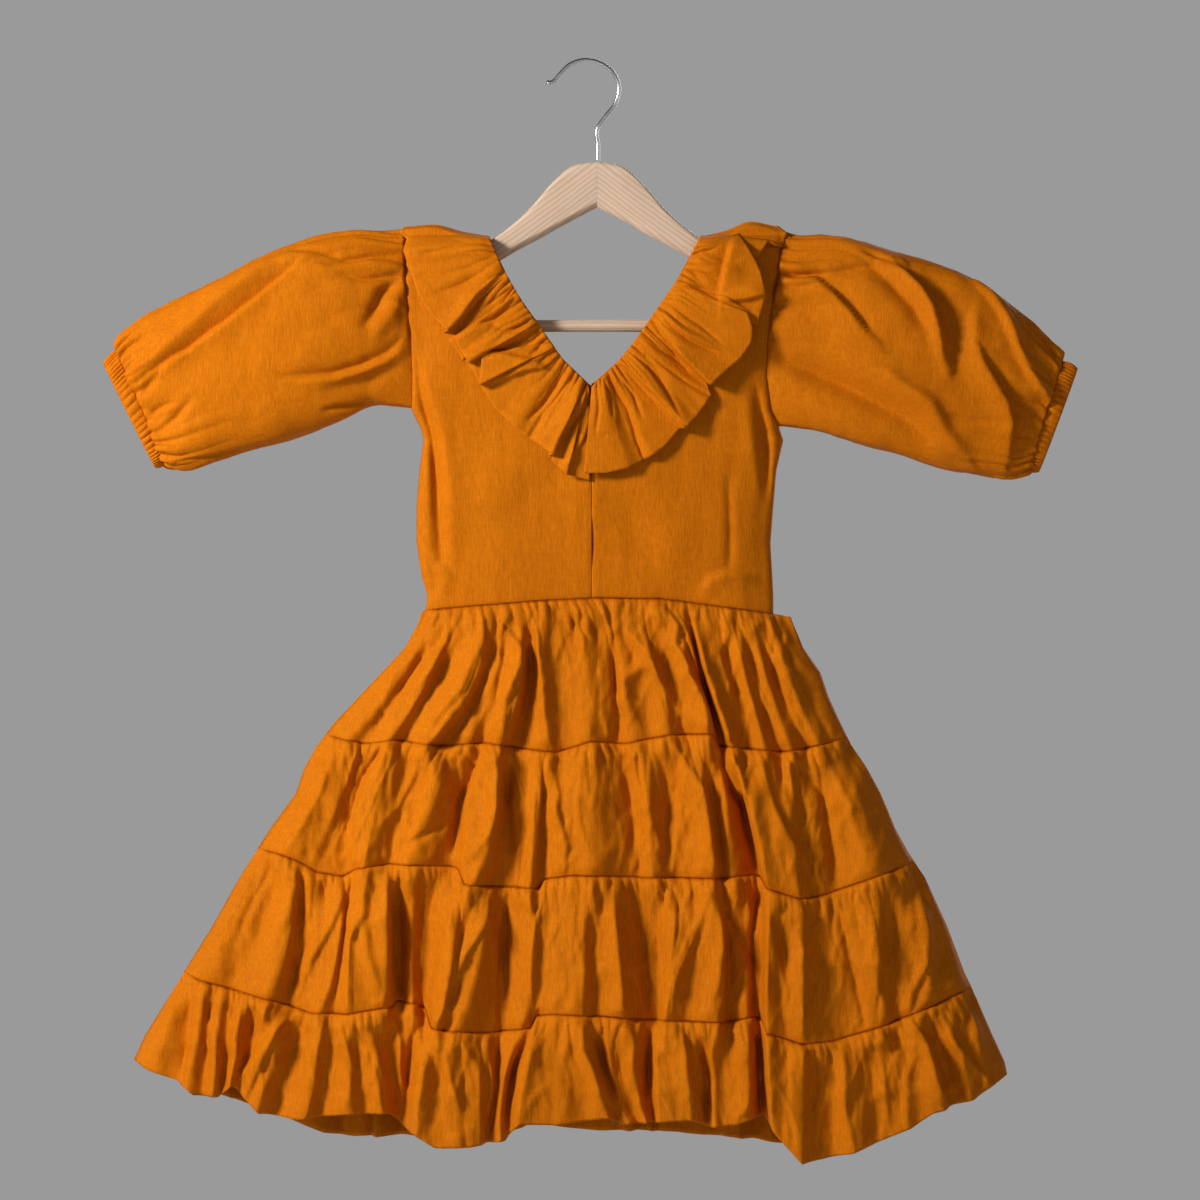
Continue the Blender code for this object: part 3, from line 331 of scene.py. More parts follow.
RIGHT_FLAPS = [
    Flap(0.00, 778, 236, 3), Flap(0.025, 787, 243, 9), Flap(0.045, 781, 256, 2.5),
    Flap(0.065, 769, 247, 7), Flap(0.085, 756, 264, 2.5), Flap(0.11, 738, 236, 8),
    Flap(0.14, 754, 262, 10), Flap(0.165, 760, 275, 11), Flap(0.19, 765, 296, 12),
    Flap(0.21, 761, 312, 8), Flap(0.23, 756, 328, 6), Flap(0.25, 749, 326, 2), Flap(0.275, 736, 308, 2),
    Flap(0.31, 747, 316, 9), Flap(0.34, 752, 330, 9.5), Flap(0.38, 751, 344, 9.5),
    Flap(0.43, 741, 359, 9), Flap(0.48, 727, 371, 8.5), Flap(0.54, 710, 387, 10),
    Flap(0.565, 706, 384, 2), Flap(0.60, 711, 397, 2.5), Flap(0.66, 704, 407, 4.5),
    Flap(0.71, 697, 417, 5.5), Flap(0.76, 688, 427, 8.5), Flap(0.80, 684, 430, 9.5),
    Flap(0.815, 679, 430, 2.5), Flap(0.85, 666, 446, 4.5), Flap(0.875, 653, 456, 5.5),
    Flap(0.895, 645, 460, 2.5), Flap(0.905, 640, 463, 2.5), Flap(0.93, 628, 469, 6),
    Flap(0.97, 606, 474, 4.5), Flap(1.00, 584, 474, 3.5),
]

# Creases of the ruffles
LEFT_RUFFLE_CREASES = [
    Crease(-2.5, 3, 3, ((477, 243), (451, 250), (425, 255))),
    Crease(-1.8, 2.5, 2.5, ((494, 259), (468, 270), (446, 276), (423, 277))),
    Crease(-2.6, 4, 2, ((497, 264), (482, 275), (464, 286), (439, 295))),
    Crease(4.0, 12, 2, ((503, 272), (477, 296), (462, 317), (450, 330))),
    Crease(-3.0, 2, 4, ((507, 275), (482, 298), (467, 320), (456, 333))),
    Crease(-2.0, 2, 2, ((513, 288), (501, 298), (489, 306))),
    Crease(-2.5, 2, 2.5, ((518, 297), (508, 309), (494, 321), (482, 325))),
    Crease(-2.0, 2, 2, ((520, 305), (508, 314), (494, 323))),
    Crease(3.5, 2, 9, ((491, 326), (473, 332), (457, 338))),
    Crease(-2.5, 2, 2, ((532, 317), (526, 325), (513, 332), (501, 331), (491, 325))),
    Crease(3.5, 8, 2, ((538, 324), (523, 336), (504, 345), (482, 354), (471, 361))),
    Crease(-3.0, 2, 3, ((540, 329), (525, 341), (506, 350), (486, 358))),
    Crease(-2.0, 2, 2, ((543, 332), (534, 341), (524, 349))),
    Crease(-2.0, 2, 2, ((545, 340), (538, 351), (531, 359))),
    Crease(4.0, 11, 1.6, ((542, 367), (532, 362), (508, 357), (484, 354))),
    Crease(4.5, 12, 1.6, ((552, 362), (543, 369), (527, 371), (505, 379), (482, 386))),
    Crease(-2.5, 2, 2, ((555, 351), (547, 357), (541, 364))),
    Crease(-3.5, 3, 2.5, ((567, 368), (556, 388), (543, 407), (530, 420))),
    Crease(-2.2, 2, 2, ((573, 376), (561, 394), (549, 410))),
    Crease(3.5, 14, 2, ((587, 396), (577, 411), (568, 423), (559, 439), (553, 453))),
    Crease(-2.5, 2, 3, ((589, 399), (581, 414), (572, 426), (563, 443))),
    Crease(2.5, 6, 1.6, ((588, 424), (583, 440), (576, 451), (569, 464), (566, 474))),
]
RIGHT_RUFFLE_CREASES = [
    Crease(-2.0, 2.5, 2.5, ((706, 256), (716, 259), (726, 263))),
    Crease(-3.0, 3, 2.5, ((691, 272), (707, 277), (720, 284))),
    Crease(-3.5, 3, 3, ((686, 289), (700, 291), (711, 295), (721, 300))),
    Crease(5.0, 1.6, 18, ((737, 232), (730, 250), (725, 269), (720, 299))),
    Crease(-2.5, 6, 1.5, ((733, 238), (727, 252), (722, 270), (717, 296))),
    Crease(5.0, 12, 1.6, ((720, 299), (729, 302), (745, 301), (765, 296))),
    Crease(4.0, 9, 1.8, ((688, 290), (712, 297), (727, 302), (746, 314), (751, 322))),
    Crease(-2.2, 2, 2, ((671, 307), (686, 319), (700, 328), (711, 337), (720, 345))),
    Crease(4.0, 1.8, 10, ((665, 316), (675, 327), (689, 338), (704, 345), (720, 352))),
    Crease(-2.5, 3, 1.5, ((663, 318), (673, 330), (688, 341), (703, 348), (716, 354))),
    Crease(4.5, 1.8, 12, ((661, 329), (669, 340), (680, 356), (691, 372), (709, 385))),
    Crease(-3.0, 4, 1.5, ((659, 331), (667, 343), (678, 359), (689, 375), (704, 386))),
    Crease(-2.2, 2, 2, ((646, 343), (661, 353), (675, 360), (686, 368), (700, 380), (710, 389))),
    Crease(-2.5, 2, 2, ((645, 353), (657, 362), (671, 373), (686, 384), (700, 392), (709, 396))),
    Crease(-2.5, 2, 2.5, ((636, 358), (648, 368), (658, 380), (668, 396), (679, 416))),
    Crease(4.0, 1.8, 11, ((619, 362), (630, 369), (643, 383), (658, 397), (672, 411), (684, 424))),
    Crease(-2.5, 3, 1.5, ((617, 364), (628, 372), (641, 386), (656, 400), (669, 414))),
    Crease(-2.5, 2, 2, ((617, 376), (633, 396), (641, 417))),
    Crease(-3.5, 2.5, 3, ((607, 378), (618, 394), (628, 412), (634, 430), (636, 445))),
    Crease(-2.5, 2, 2, ((603, 378), (609, 394), (613, 418))),
    Crease(-2.2, 2, 2, ((598, 386), (599, 410), (596, 431))),
    Crease(-1.5, 1.5, 1.5, ((594, 436), (604, 437), (614, 437))),
    Crease(-2.5, 2, 2, ((637, 440), (641, 455), (645, 461))),
]

# Hanger: pairs of points on the top and low edges of an arm, from the middle joint outwards
HANGER_THICKNESS = 0.012
HOOK_WIRE = 0.0032
BALL_RADIUS = 0.0024
ARM_SECTIONS = [
    (597, 162, 597, 208), (586, 163, 586, 213.5), (573, 166, 572, 221), (560, 175.5, 559, 228),
    (546, 190, 547, 235), (532, 206.5, 534, 242), (517, 221, 519, 250), (500, 234.5, 502, 260),
    (482, 246, 485, 272), (462, 257, 471, 285), (446, 270, 461, 299), (437, 288, 457, 314),
    (434, 310, 456.5, 325), (434, 326, 456, 337),
]
# Section of an arm: units from the top edge (or from the low edge, where negative) and the share of
# half its thickness that the front stands out there
ARM_PROFILE = [
    (0, 0.35), (0.6, 0.68), (1.8, 0.90), (3.6, 0.99), (5, 1.0), (-6.5, 1.0), (-5.5, 0.97), (-0.6, 0.30),
    (-0.01, 0.12),
]
ARM_MIDDLE = 597
ARM_SLOPE = math.radians(37)
HOOK_PATH = [
    Line(598, 160.5), Line(598, 145), Line(597, 130), Line(605, 117), Line(615, 104), Line(619, 88),
    Line(614, 74), Line(602, 64), Line(586, 60), Line(571, 64), Line(561, 73), Line(554, 81),
    Line(546, 84),
]


# Creases of the front, each a soft ridge (or a trough where its rise is negative) along a path of
# (across, down)
SLEEVE_LEFT_CREASES = [
    Crease(3.4, 13, 8, (
        (322, 264), (298, 261), (278, 261), (263, 270), (242, 287), (220, 303), (180, 338), (146, 370)
    )),
    Crease(-2.6, 6, 1.6, (
        (298, 265), (285, 275), (272, 286), (248, 305), (229, 321), (211, 333), (192, 349), (172, 360),
        (151, 374), (136, 388)
    )),
    Crease(1.6, 1.5, 9, ((284, 279), (250, 309), (213, 337), (174, 364), (153, 378))),
    Crease(-1.8, 3, 3, ((402, 257), (372, 257), (346, 261), (318, 253), (294, 253), (272, 263))),
    Crease(-2.0, 3, 2, ((394, 260), (370, 260), (350, 264), (335, 266), (320, 265))),
    Crease(-2.4, 3, 4, ((402, 275), (387, 278), (370, 281), (357, 280), (344, 275))),
    Crease(-3.6, 6, 5, ((402, 281), (394, 286), (385, 294), (376, 312), (367, 326))),
    Crease(2.0, 8, 8, ((400, 300), (390, 318), (376, 334))),
    Crease(-2.6, 6, 1.8, ((400, 343), (387, 355), (361, 367), (335, 375), (307, 378), (283, 379))),
    Crease(2.2, 2, 8, ((402, 350), (388, 361), (362, 373), (336, 380), (308, 382))),
    Crease(-2.2, 9, 9, ((400, 366), (372, 380), (330, 389))),
    Crease(-3.0, 3, 3, ((374, 404), (350, 408), (328, 410))),
    Crease(-2.0, 2, 2, ((303, 435), (264, 446), (220, 457), (179, 461))),
    Crease(-2.4, 3, 3, ((177, 403), (162, 409), (143, 420))),
    Crease(-2.2, 4, 4, ((192, 403), (177, 420), (161, 431))),
    Crease(-1.8, 4, 4, ((168, 366), (152, 384), (140, 402))),
]
SLEEVE_RIGHT_CREASES = [
    Crease(3.6, 16, 2, ((812, 278), (832, 295), (849, 313), (862, 331), (877, 346))),
    Crease(-2.2, 1.5, 7, ((820, 280), (835, 293), (852, 311), (865, 329))),
    Crease(4.0, 15, 6, ((884, 372), (904, 388), (928, 403), (944, 432), (966, 456))),
    Crease(5.0, 7, 2.5, (
        (888, 260), (902, 274), (919, 291), (930, 308), (937, 332), (941, 358), (947, 372)
    )),
    Crease(-3.0, 8, 5, ((866, 262), (890, 284), (910, 306), (925, 334))),
    Crease(-3.0, 3, 10, ((908, 266), (930, 290), (944, 322), (950, 360))),
    Crease(-4.0, 18, 18, ((922, 264), (950, 300), (962, 340), (960, 368))),
    Crease(4.0, 2.5, 9, (
        (973, 280), (990, 300), (1001, 317), (1011, 342), (1020, 364), (1033, 387), (1048, 402)
    )),
    Crease(2.6, 2.5, 10, ((973, 312), (971, 330), (974, 346))),
    Crease(4.6, 13, 2.5, (
        (974, 346), (980, 362), (992, 383), (1003, 402), (1008, 421), (1007, 447), (1006, 460)
    )),
    Crease(-2.2, 2, 7, ((984, 364), (996, 382), (1007, 402), (1012, 421), (1011, 446))),
    Crease(-6.5, 9, 17, ((768, 353), (798, 368), (830, 383), (862, 400), (894, 417), (926, 438))),
    Crease(-5.0, 3, 3, ((779, 274), (793, 277), (823, 276))),
    Crease(2.6, 3, 3, ((779, 282), (797, 283), (818, 282))),
    Crease(-2.4, 3, 9, ((872, 266), (849, 270), (823, 276))),
    Crease(-2.4, 3, 3, ((862, 252), (884, 260), (901, 270))),
    Crease(-2.4, 3, 3, ((1039, 332), (1052, 353), (1060, 366))),
    Crease(-1.8, 2.5, 2.5, ((1001, 392), (1022, 407), (1039, 417))),
    Crease(-1.8, 2.5, 2.5, ((1009, 436), (1022, 437), (1033, 439))),
    Crease(-1.4, 3, 3, ((945, 417), (969, 421), (1003, 423))),
    Crease(1.8, 9, 9, ((786, 392), (830, 412), (880, 440))),
]
BODICE_CREASES = [
    Crease(-7, 6, 5, ((412, 352), (420, 392), (431, 433), (437, 480), (441, 560))),
    Crease(2.5, 8, 8, ((404, 388), (420, 440), (425, 490), (428, 548))),
    Crease(3.5, 5, 14, ((424, 372), (444, 433), (450, 485), (452, 552))),
    Crease(-7, 7, 5, ((758, 392), (765, 440), (770, 500))),
    Crease(2.2, 9, 9, ((747, 404), (752, 446), (757, 490))),
    Crease(-2.5, 4, 4, ((728, 480), (730, 530), (729, 572))),
    Crease(4.0, 5, 10, ((704, 590), (712, 578), (730, 573), (750, 578))),
    Crease(-1.8, 6, 6, ((700, 582), (722, 570), (748, 570))),
    Crease(1.6, 26, 26, ((520, 470), (490, 500), (455, 520))),
    Crease(-1.6, 24, 24, ((560, 470), (520, 510), (460, 560))),
    Crease(1.4, 22, 22, ((640, 500), (668, 540), (690, 570))),
    Crease(-1.4, 20, 20, ((620, 490), (640, 540), (650, 590))),
    Crease(2.0, 7, 7, ((436, 560), (446, 578), (440, 600))),
    Crease(-2.0, 6, 6, ((428, 560), (436, 580), (434, 598))),
]

# Sharp creases of each front tier, each a ridge (or a trough where its rise is negative) along a path
# of (across, down), with its width to the left and to the right of the path
TIER_CREASES = [
    [
        Crease(3, 6, 3, ((436, 603), (424, 625), (415, 655), (400, 670))),
        Crease(-4, 5, 4, ((448, 618), (441, 642), (418, 666), (396, 694))),
        Crease(4, 8, 3, ((461, 618), (458, 633), (448, 652), (422, 680), (392, 716))),
        Crease(7, 14, 3, ((483, 618), (483, 642), (476, 656), (463, 687), (441, 713), (425, 737))),
        Crease(3.5, 5, 2, ((463, 698), (446, 723), (434, 741))),
        Crease(3, 5, 2.5, ((493, 615), (493, 646), (490, 681), (474, 716), (473, 741))),
        Crease(9, 16, 2.5, ((508, 631), (523, 650), (521, 666), (507, 699), (505, 716), (500, 741))),
        Crease(-5, 4, 8, ((531, 652), (526, 690), (518, 735))),
        Crease(4, 5, 3, ((523, 632), (535, 646), (540, 663))),
        Crease(6, 2.5, 16, ((537, 625), (540, 663), (540, 691), (545, 716), (549, 741))),
        Crease(-3, 2, 2, ((574, 611), (574, 642))),
        Crease(-2.5, 3, 2, ((560, 612), (570, 634))),
        Crease(-3, 2, 3, ((588, 640), (580, 624), (582, 612))),
        Crease(5, 16, 2.5, ((602, 608), (610, 632), (610, 688), (613, 730))),
        Crease(6, 5, 6, ((626, 630), (648, 653), (656, 670), (676, 708), (690, 718))),
        Crease(5, 4, 8, ((650, 652), (636, 668), (622, 680), (620, 700), (628, 716))),
        Crease(7, 14, 2.5, (
            (660, 603), (677, 625), (675, 645), (683, 656), (690, 676), (703, 696), (714, 729)
        )),
        Crease(-9, 3, 3, ((684, 634), (692, 660), (702, 685), (715, 712), (724, 742))),
        Crease(8, 2.5, 8, ((693, 631), (703, 663), (713, 693), (726, 728), (729, 749))),
        Crease(5, 6, 3, ((723, 615), (728, 633), (719, 653), (731, 696), (741, 716))),
        Crease(5, 6, 3, ((739, 631), (746, 660), (762, 698), (779, 733), (783, 748))),
        Crease(4.5, 6, 3, ((756, 618), (766, 645), (782, 676), (789, 706), (809, 746))),
        Crease(3, 6, 3, ((770, 622), (786, 660), (806, 700), (824, 740))),
    ],
    [
        Crease(4, 7, 3, ((366, 746), (356, 758), (344, 792), (317, 859))),
        Crease(2, 4, 4, ((294, 805), (330, 820))),
        Crease(3, 6, 3, ((335, 748), (322, 790), (292, 846))),
        Crease(6, 3, 12, ((394, 741), (370, 777), (358, 813), (354, 864))),
        Crease(-5, 4, 3, ((382, 748), (362, 780), (350, 820))),
        Crease(3.5, 6, 3, ((419, 750), (417, 770), (400, 805), (382, 824))),
        Crease(-4, 5, 4, ((448, 821), (406, 845), (394, 859))),
        Crease(3, 6, 4, ((440, 748), (444, 780), (430, 815))),
        Crease(-3, 2, 2, ((460, 746), (477, 767))),
        Crease(8, 3, 14, ((492, 741), (478, 772), (468, 801), (463, 864))),
        Crease(-8, 5, 3, ((476, 766), (461, 802), (454, 850))),
        Crease(5, 10, 3, ((503, 765), (498, 811), (491, 832), (469, 859))),
        Crease(-6, 4, 4, ((510, 760), (508, 800), (512, 850))),
        Crease(5, 6, 3, ((536, 776), (532, 856), (530, 870))),
        Crease(5, 8, 3, ((553, 772), (559, 793), (556, 806), (566, 842), (564, 873))),
        Crease(3, 14, 10, ((599, 756), (601, 800), (599, 866))),
        Crease(-5, 5, 6, ((622, 760), (630, 800), (632, 850))),
        Crease(5, 10, 3, ((648, 755), (650, 797), (651, 820), (662, 849))),
        Crease(7, 3, 10, ((669, 737), (685, 762), (679, 814), (672, 873))),
        Crease(-6, 5, 4, ((662, 760), (668, 800), (664, 860))),
        Crease(7, 12, 2.5, ((690, 767), (705, 792), (708, 818), (713, 855), (717, 875))),
        Crease(4, 8, 3, ((715, 737), (724, 756), (727, 796), (727, 836))),
        Crease(-12, 4, 2.5, ((722, 760), (731, 790), (742, 804), (746, 826), (752, 850), (757, 876))),
        Crease(10, 2.5, 14, (
            (728, 750), (729, 765), (738, 788), (748, 795), (751, 815), (758, 838), (765, 887)
        )),
        Crease(5, 10, 4, ((755, 749), (762, 771), (772, 806), (793, 844), (797, 893))),
        Crease(4, 8, 3, ((784, 749), (791, 781), (794, 833))),
        Crease(-5, 5, 5, ((799, 767), (821, 793), (826, 825), (832, 859), (834, 888))),
        Crease(3.5, 10, 4, ((822, 752), (846, 800), (862, 850))),
    ],
    [
        Crease(-4, 5, 4, ((278, 858), (253, 904), (234, 948))),
        Crease(3, 7, 3, ((262, 852), (238, 900), (208, 960))),
        Crease(5, 10, 3, ((298, 859), (293, 908), (278, 942))),
        Crease(2.5, 5, 2.5, ((313, 878), (312, 911))),
        Crease(5, 10, 3, ((350, 881), (333, 923), (313, 957), (310, 968))),
        Crease(-5, 4, 4, ((310, 936), (302, 957), (287, 1000))),
        Crease(5, 8, 3, ((367, 870), (367, 908), (351, 936), (351, 1009))),
        Crease(4, 6, 3, ((368, 911), (370, 950), (381, 983))),
        Crease(7, 12, 2.5, ((390, 878), (391, 930), (390, 995))),
        Crease(-10, 4, 7, ((400, 884), (402, 940), (402, 1000))),
        Crease(-7, 5, 5, ((424, 880), (420, 930), (416, 990))),
        Crease(8, 3, 12, ((462, 878), (449, 926), (435, 992), (434, 1028))),
        Crease(6, 10, 3, ((493, 895), (487, 919), (467, 951), (449, 990), (448, 1006))),
        Crease(4, 6, 3, ((490, 902), (497, 944), (497, 972))),
        Crease(-7, 3, 4, ((505, 890), (506, 950), (507, 1004))),
        Crease(6, 3, 14, ((547, 885), (537, 919), (530, 955), (535, 1009))),
        Crease(3, 8, 3, ((591, 875), (596, 916), (600, 930))),
        Crease(6, 10, 2.5, ((612, 882), (618, 939), (624, 1010))),
        Crease(-7, 6, 7, ((632, 890), (642, 950), (647, 1005))),
        Crease(6, 2.5, 10, ((671, 880), (664, 914), (661, 949), (659, 1013))),
        Crease(5, 8, 3, ((708, 888), (696, 926), (682, 959), (673, 982), (670, 1013))),
        Crease(7, 10, 2.5, ((717, 877), (722, 905), (722, 943), (716, 984))),
        Crease(-3, 3, 3, ((722, 908), (747, 949), (758, 968))),
        Crease(-10, 4, 2.5, ((757, 892), (751, 930), (752, 970), (752, 1016))),
        Crease(9, 2.5, 14, ((766, 887), (759, 908), (761, 962), (759, 1013), (762, 1027))),
        Crease(3, 5, 3, ((766, 914), (779, 970), (789, 1007))),
        Crease(7, 14, 3, ((800, 906), (801, 970), (800, 1033))),
        Crease(-4, 5, 5, ((833, 901), (842, 929), (853, 978), (863, 1025))),
        Crease(6, 12, 3, ((877, 895), (877, 937), (874, 990))),
        Crease(5, 6, 3, ((920, 901), (928, 929), (925, 960), (909, 990), (906, 1010))),
    ],
    [
        Crease(-3, 3, 3, ((193, 971), (192, 1014), (184, 1085))),
        Crease(3, 6, 3, ((178, 976), (172, 1020), (160, 1064))),
        Crease(4, 7, 3, ((205, 980), (207, 1014), (218, 1031), (222, 1092))),
        Crease(3.5, 6, 3, ((236, 987), (243, 1010), (237, 1037), (243, 1053), (238, 1071))),
        Crease(-3, 3, 3, ((252, 992), (257, 1046))),
        Crease(3, 6, 3, ((263, 994), (272, 1026))),
        Crease(7, 3, 9, ((309, 1004), (281, 1022), (252, 1062), (236, 1082))),
        Crease(5, 8, 3, ((291, 1006), (263, 1060), (249, 1092))),
        Crease(4, 6, 3, ((327, 1015), (329, 1035), (324, 1096))),
        Crease(4, 7, 3, ((340, 1012), (349, 1039), (356, 1064), (347, 1108))),
        Crease(-3, 3, 3, ((354, 1012), (374, 1049), (377, 1067))),
        Crease(4, 7, 3, ((377, 1035), (391, 1099))),
        Crease(5, 8, 2.5, ((390, 1003), (402, 1035), (402, 1073), (413, 1093))),
        Crease(-9, 4, 3, ((414, 1030), (410, 1070), (405, 1110))),
        Crease(8, 2.5, 10, ((430, 1035), (420, 1073), (412, 1119))),
        Crease(4, 6, 3, ((445, 1031), (453, 1076), (465, 1109))),
        Crease(3, 6, 3, ((461, 1033), (488, 1076))),
        Crease(7, 10, 2.5, ((489, 1033), (493, 1076), (486, 1134))),
        Crease(-8, 3, 4, ((498, 1040), (500, 1080), (493, 1120))),
        Crease(4, 3, 6, ((518, 1030), (504, 1076), (493, 1131))),
        Crease(-6, 4, 3, ((530, 1030), (513, 1070), (506, 1110))),
        Crease(7, 2.5, 10, ((541, 1011), (521, 1063), (514, 1114))),
        Crease(4, 7, 3, ((566, 1013), (569, 1046), (579, 1076))),
        Crease(7, 12, 2.5, ((582, 1015), (584, 1046), (609, 1093), (615, 1108))),
        Crease(-6, 3, 5, ((594, 1030), (606, 1066), (622, 1104))),
        Crease(4, 6, 3, ((629, 1015), (634, 1043), (627, 1092))),
        Crease(-8, 4, 3, ((650, 1022), (648, 1064), (646, 1103))),
        Crease(6, 10, 2.5, ((676, 1016), (686, 1050), (693, 1109))),
        Crease(-5, 4, 4, ((702, 1036), (708, 1075), (705, 1122))),
        Crease(6, 10, 2.5, ((745, 1018), (753, 1045), (759, 1073), (750, 1096), (736, 1113))),
        Crease(-10, 4, 2.5, ((756, 1034), (758, 1070), (760, 1110))),
        Crease(9, 2.5, 12, ((763, 1029), (764, 1056), (768, 1106), (770, 1126))),
        Crease(6, 12, 3, ((800, 1043), (801, 1100), (800, 1157))),
        Crease(-4, 3, 5, ((808, 1043), (810, 1101))),
        Crease(5, 9, 3, ((840, 1040), (843, 1109), (851, 1146))),
        Crease(3.5, 7, 3, ((872, 1026), (880, 1070), (886, 1124))),
        Crease(5, 3, 8, ((903, 1064), (903, 1119))),
        Crease(6, 10, 3, ((906, 1015), (926, 1040), (934, 1076), (943, 1099))),
        Crease(5, 8, 3, ((939, 1003), (951, 1015), (949, 1035), (976, 1068), (992, 1083))),
        Crease(3, 6, 3, ((966, 998), (977, 1030), (982, 1066))),
    ],
]


def across(chart):
    return (chart - HOOK_AT[0]) * UNIT


def height(chart):
    return (HOOK_AT[1] - chart) * UNIT


def column(table, name):
    return np.array([getattr(row, name) for row in table], dtype=float)


def read(table, at, key, value):
    """The table's value column at places along its key column, straight between rows."""
    keys, values = column(table, key), column(table, value)
    order = np.argsort(keys)
    return np.interp(at, keys[order], values[order])


def ease(share):
    share = np.clip(share, 0.0, 1.0)
    return share * share * (3 - 2 * share)


def near(distance, reach):
    """One on a line, falling smoothly to nothing over about twice the reach."""
    return np.exp(-((distance / reach) ** 2))


def smooth_through(values, count):
    """A smooth curve through the values, read at evenly spaced places from the first to the last."""
    values = np.asarray(values, dtype=float)
    padded = np.concatenate([[2 * values[0] - values[1]], values, [2 * values[-1] - values[-2]]])
    place = np.linspace(0, len(values) - 1, count)
    i = np.minimum(place.astype(int), len(values) - 2)
    t = place - i
    a, b, c, d = padded[i], padded[i + 1], padded[i + 2], padded[i + 3]
    return 0.5 * (2 * b + (c - a) * t + (2 * a - 5 * b + 4 * c - d) * t**2 + (3 * b - a - 3 * c + d) * t**3)


def noise(seed, u, v):
    """Smooth noise from -1 to 1 over places (u, v), with about one bump for each unit."""
    u, v = np.broadcast_arrays(u - np.min(u), v - np.min(v))
    lattice = np.random.default_rng(seed).uniform(-1, 1, (int(u.max()) + 2, int(v.max()) + 2))
    i, j = u.astype(int), v.astype(int)
    a, b = ease(u - i), ease(v - j)
    upper = lattice[i, j] * (1 - a) + lattice[i + 1, j] * a
    lower = lattice[i, j + 1] * (1 - a) + lattice[i + 1, j + 1] * a
    return upper * (1 - b) + lower * b


# Relief of the cloth


def crease_rise(creases, places, downs):
    """How far the creases lift the cloth, in metres, at each point of the chart."""
    rise = np.zeros_like(places)
    for crease in creases:
        path = np.array(crease.path, dtype=float)
        steps = np.diff(path, axis=0)
        lengths = np.hypot(steps[:, 0], steps[:, 1])
        starts = np.concatenate([[0], np.cumsum(lengths)])
        nearest = np.full(places.shape, 1e9)
        share, turned = np.zeros_like(places), np.zeros_like(places)
        for start, step, length, at in zip(path, steps, lengths, starts):
            run = ((places - start[0]) * step[0] + (downs - start[1]) * step[1]) / length**2
            run = np.clip(run, 0, 1)
            gap = np.hypot(places - start[0] - run * step[0], downs - start[1] - run * step[1])
            closer = gap < nearest
            nearest = np.where(closer, gap, nearest)
            share = np.where(closer, (at + run * length) / starts[-1], share)
            aside = (places - start[0]) * step[1] - (downs - start[1]) * step[0]
            turned = np.where(closer, aside, turned)
        taper = np.sin(np.pi * np.clip(0.06 + 0.88 * share, 0, 1)) ** 0.6
        downward = math.copysign(1, path[-1, 1] - path[0, 1])
        width = np.where(turned * downward < 0, crease.left, crease.right)
        rise += crease.rise * MILLIMETRE * taper * np.exp(-((nearest / width) ** 1.7))
    return rise


def mirrored(creases, middle):
    """The same creases turned about a line down the chart, for the back."""
    return [c._replace(path=tuple((2 * middle - at, down) for at, down in c.path)) for c in creases]


def pleated(seed, places, drop, gather):
    """Gathers below a seam: round crests between sharp valleys, uneven in width, height and length."""
    draw = np.random.default_rng(seed)
    spacing, reach = gather.spacing, gather.reach
    low, high = float(places.min()), float(places.max())
    count = int((high - low) / spacing) + 3
    knots = low - spacing + np.cumsum(spacing * draw.uniform(0.45, 1.55, count + 3))
    knots = np.concatenate([[low - spacing], knots])
    wander = noise(seed + 1, places / (4 * spacing), drop / (0.5 * reach))
    here = places + 0.30 * spacing * wander
    i = np.clip(np.searchsorted(knots, here) - 1, 0, len(knots) - 2)
    wide = knots[i + 1] - knots[i]
    share = np.clip((here - knots[i]) / wide, 0, 1)
    heights = draw.uniform(0.25, 1.0, len(knots))
    lengths = reach * draw.uniform(0.35, 1.3, len(knots))
    crest = (1 - (2 * share - 1) ** 2) ** 0.8 * np.minimum(wide / spacing, 1.2)
    return gather.rise * MILLIMETRE * heights[i] * crest * np.exp(-((drop / lengths[i]) ** 1.5))


def rippled(ripples, offset, at, down):
    """Crinkles of the cloth, in millimetres: layers of noise, each with its own size and tilt."""
    layers = []
    for ripple in ripples:
        places = (at + down * ripple.tilt) / ripple.wide
        layers.append(ripple.rise * noise(ripple.seed + offset, places, down / ripple.long))
    return sum(layers)


# Shells from grids of points


def chart_grid(at, depth, down, side):
    return np.stack([across(at), -depth * side, height(down)], axis=2)


def grid_normals(grid, side):
    """Outward normals of rings of points, each ring closed on itself."""
    along_ring = np.roll(grid, -1, 1) - np.roll(grid, 1, 1)
    normals = np.cross(np.gradient(grid, axis=0), along_ring) * side
    return normals / np.maximum(np.linalg.norm(normals, axis=2, keepdims=True), 1e-12)


def shell(name, grid, side, material, closed=False):
    """A thin closed shell round the grid's surface."""
    rows, columns = grid.shape[:2]
    index = np.arange(rows * columns).reshape(rows, columns)
    right = np.roll(index, -1, 1)
    if not closed:
        index, right = index[:, :-1], right[:, :-1]
    quads = np.stack([index[:-1], index[1:], right[1:], right[:-1]], axis=-1).reshape(-1, 4)
    if side < 0:
        quads = quads[:, ::-1]
    mesh = bpy.data.meshes.new(name)
    mesh.from_pydata(grid.reshape(-1, 3).tolist(), [], quads.tolist())
    mesh.materials.append(material)
    mesh.shade_smooth()
    piece = placed(name, mesh)
    walls = piece.modifiers.new("thickness", "SOLIDIFY")
    walls.thickness = CLOTH
    walls.offset = 0
    return piece


def dress_piece(piece, node):
    """Hides the solid that a piece of cloth stands for, and attaches the piece to the root body."""
    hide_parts(node)
    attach(piece, "root")


# Skirt


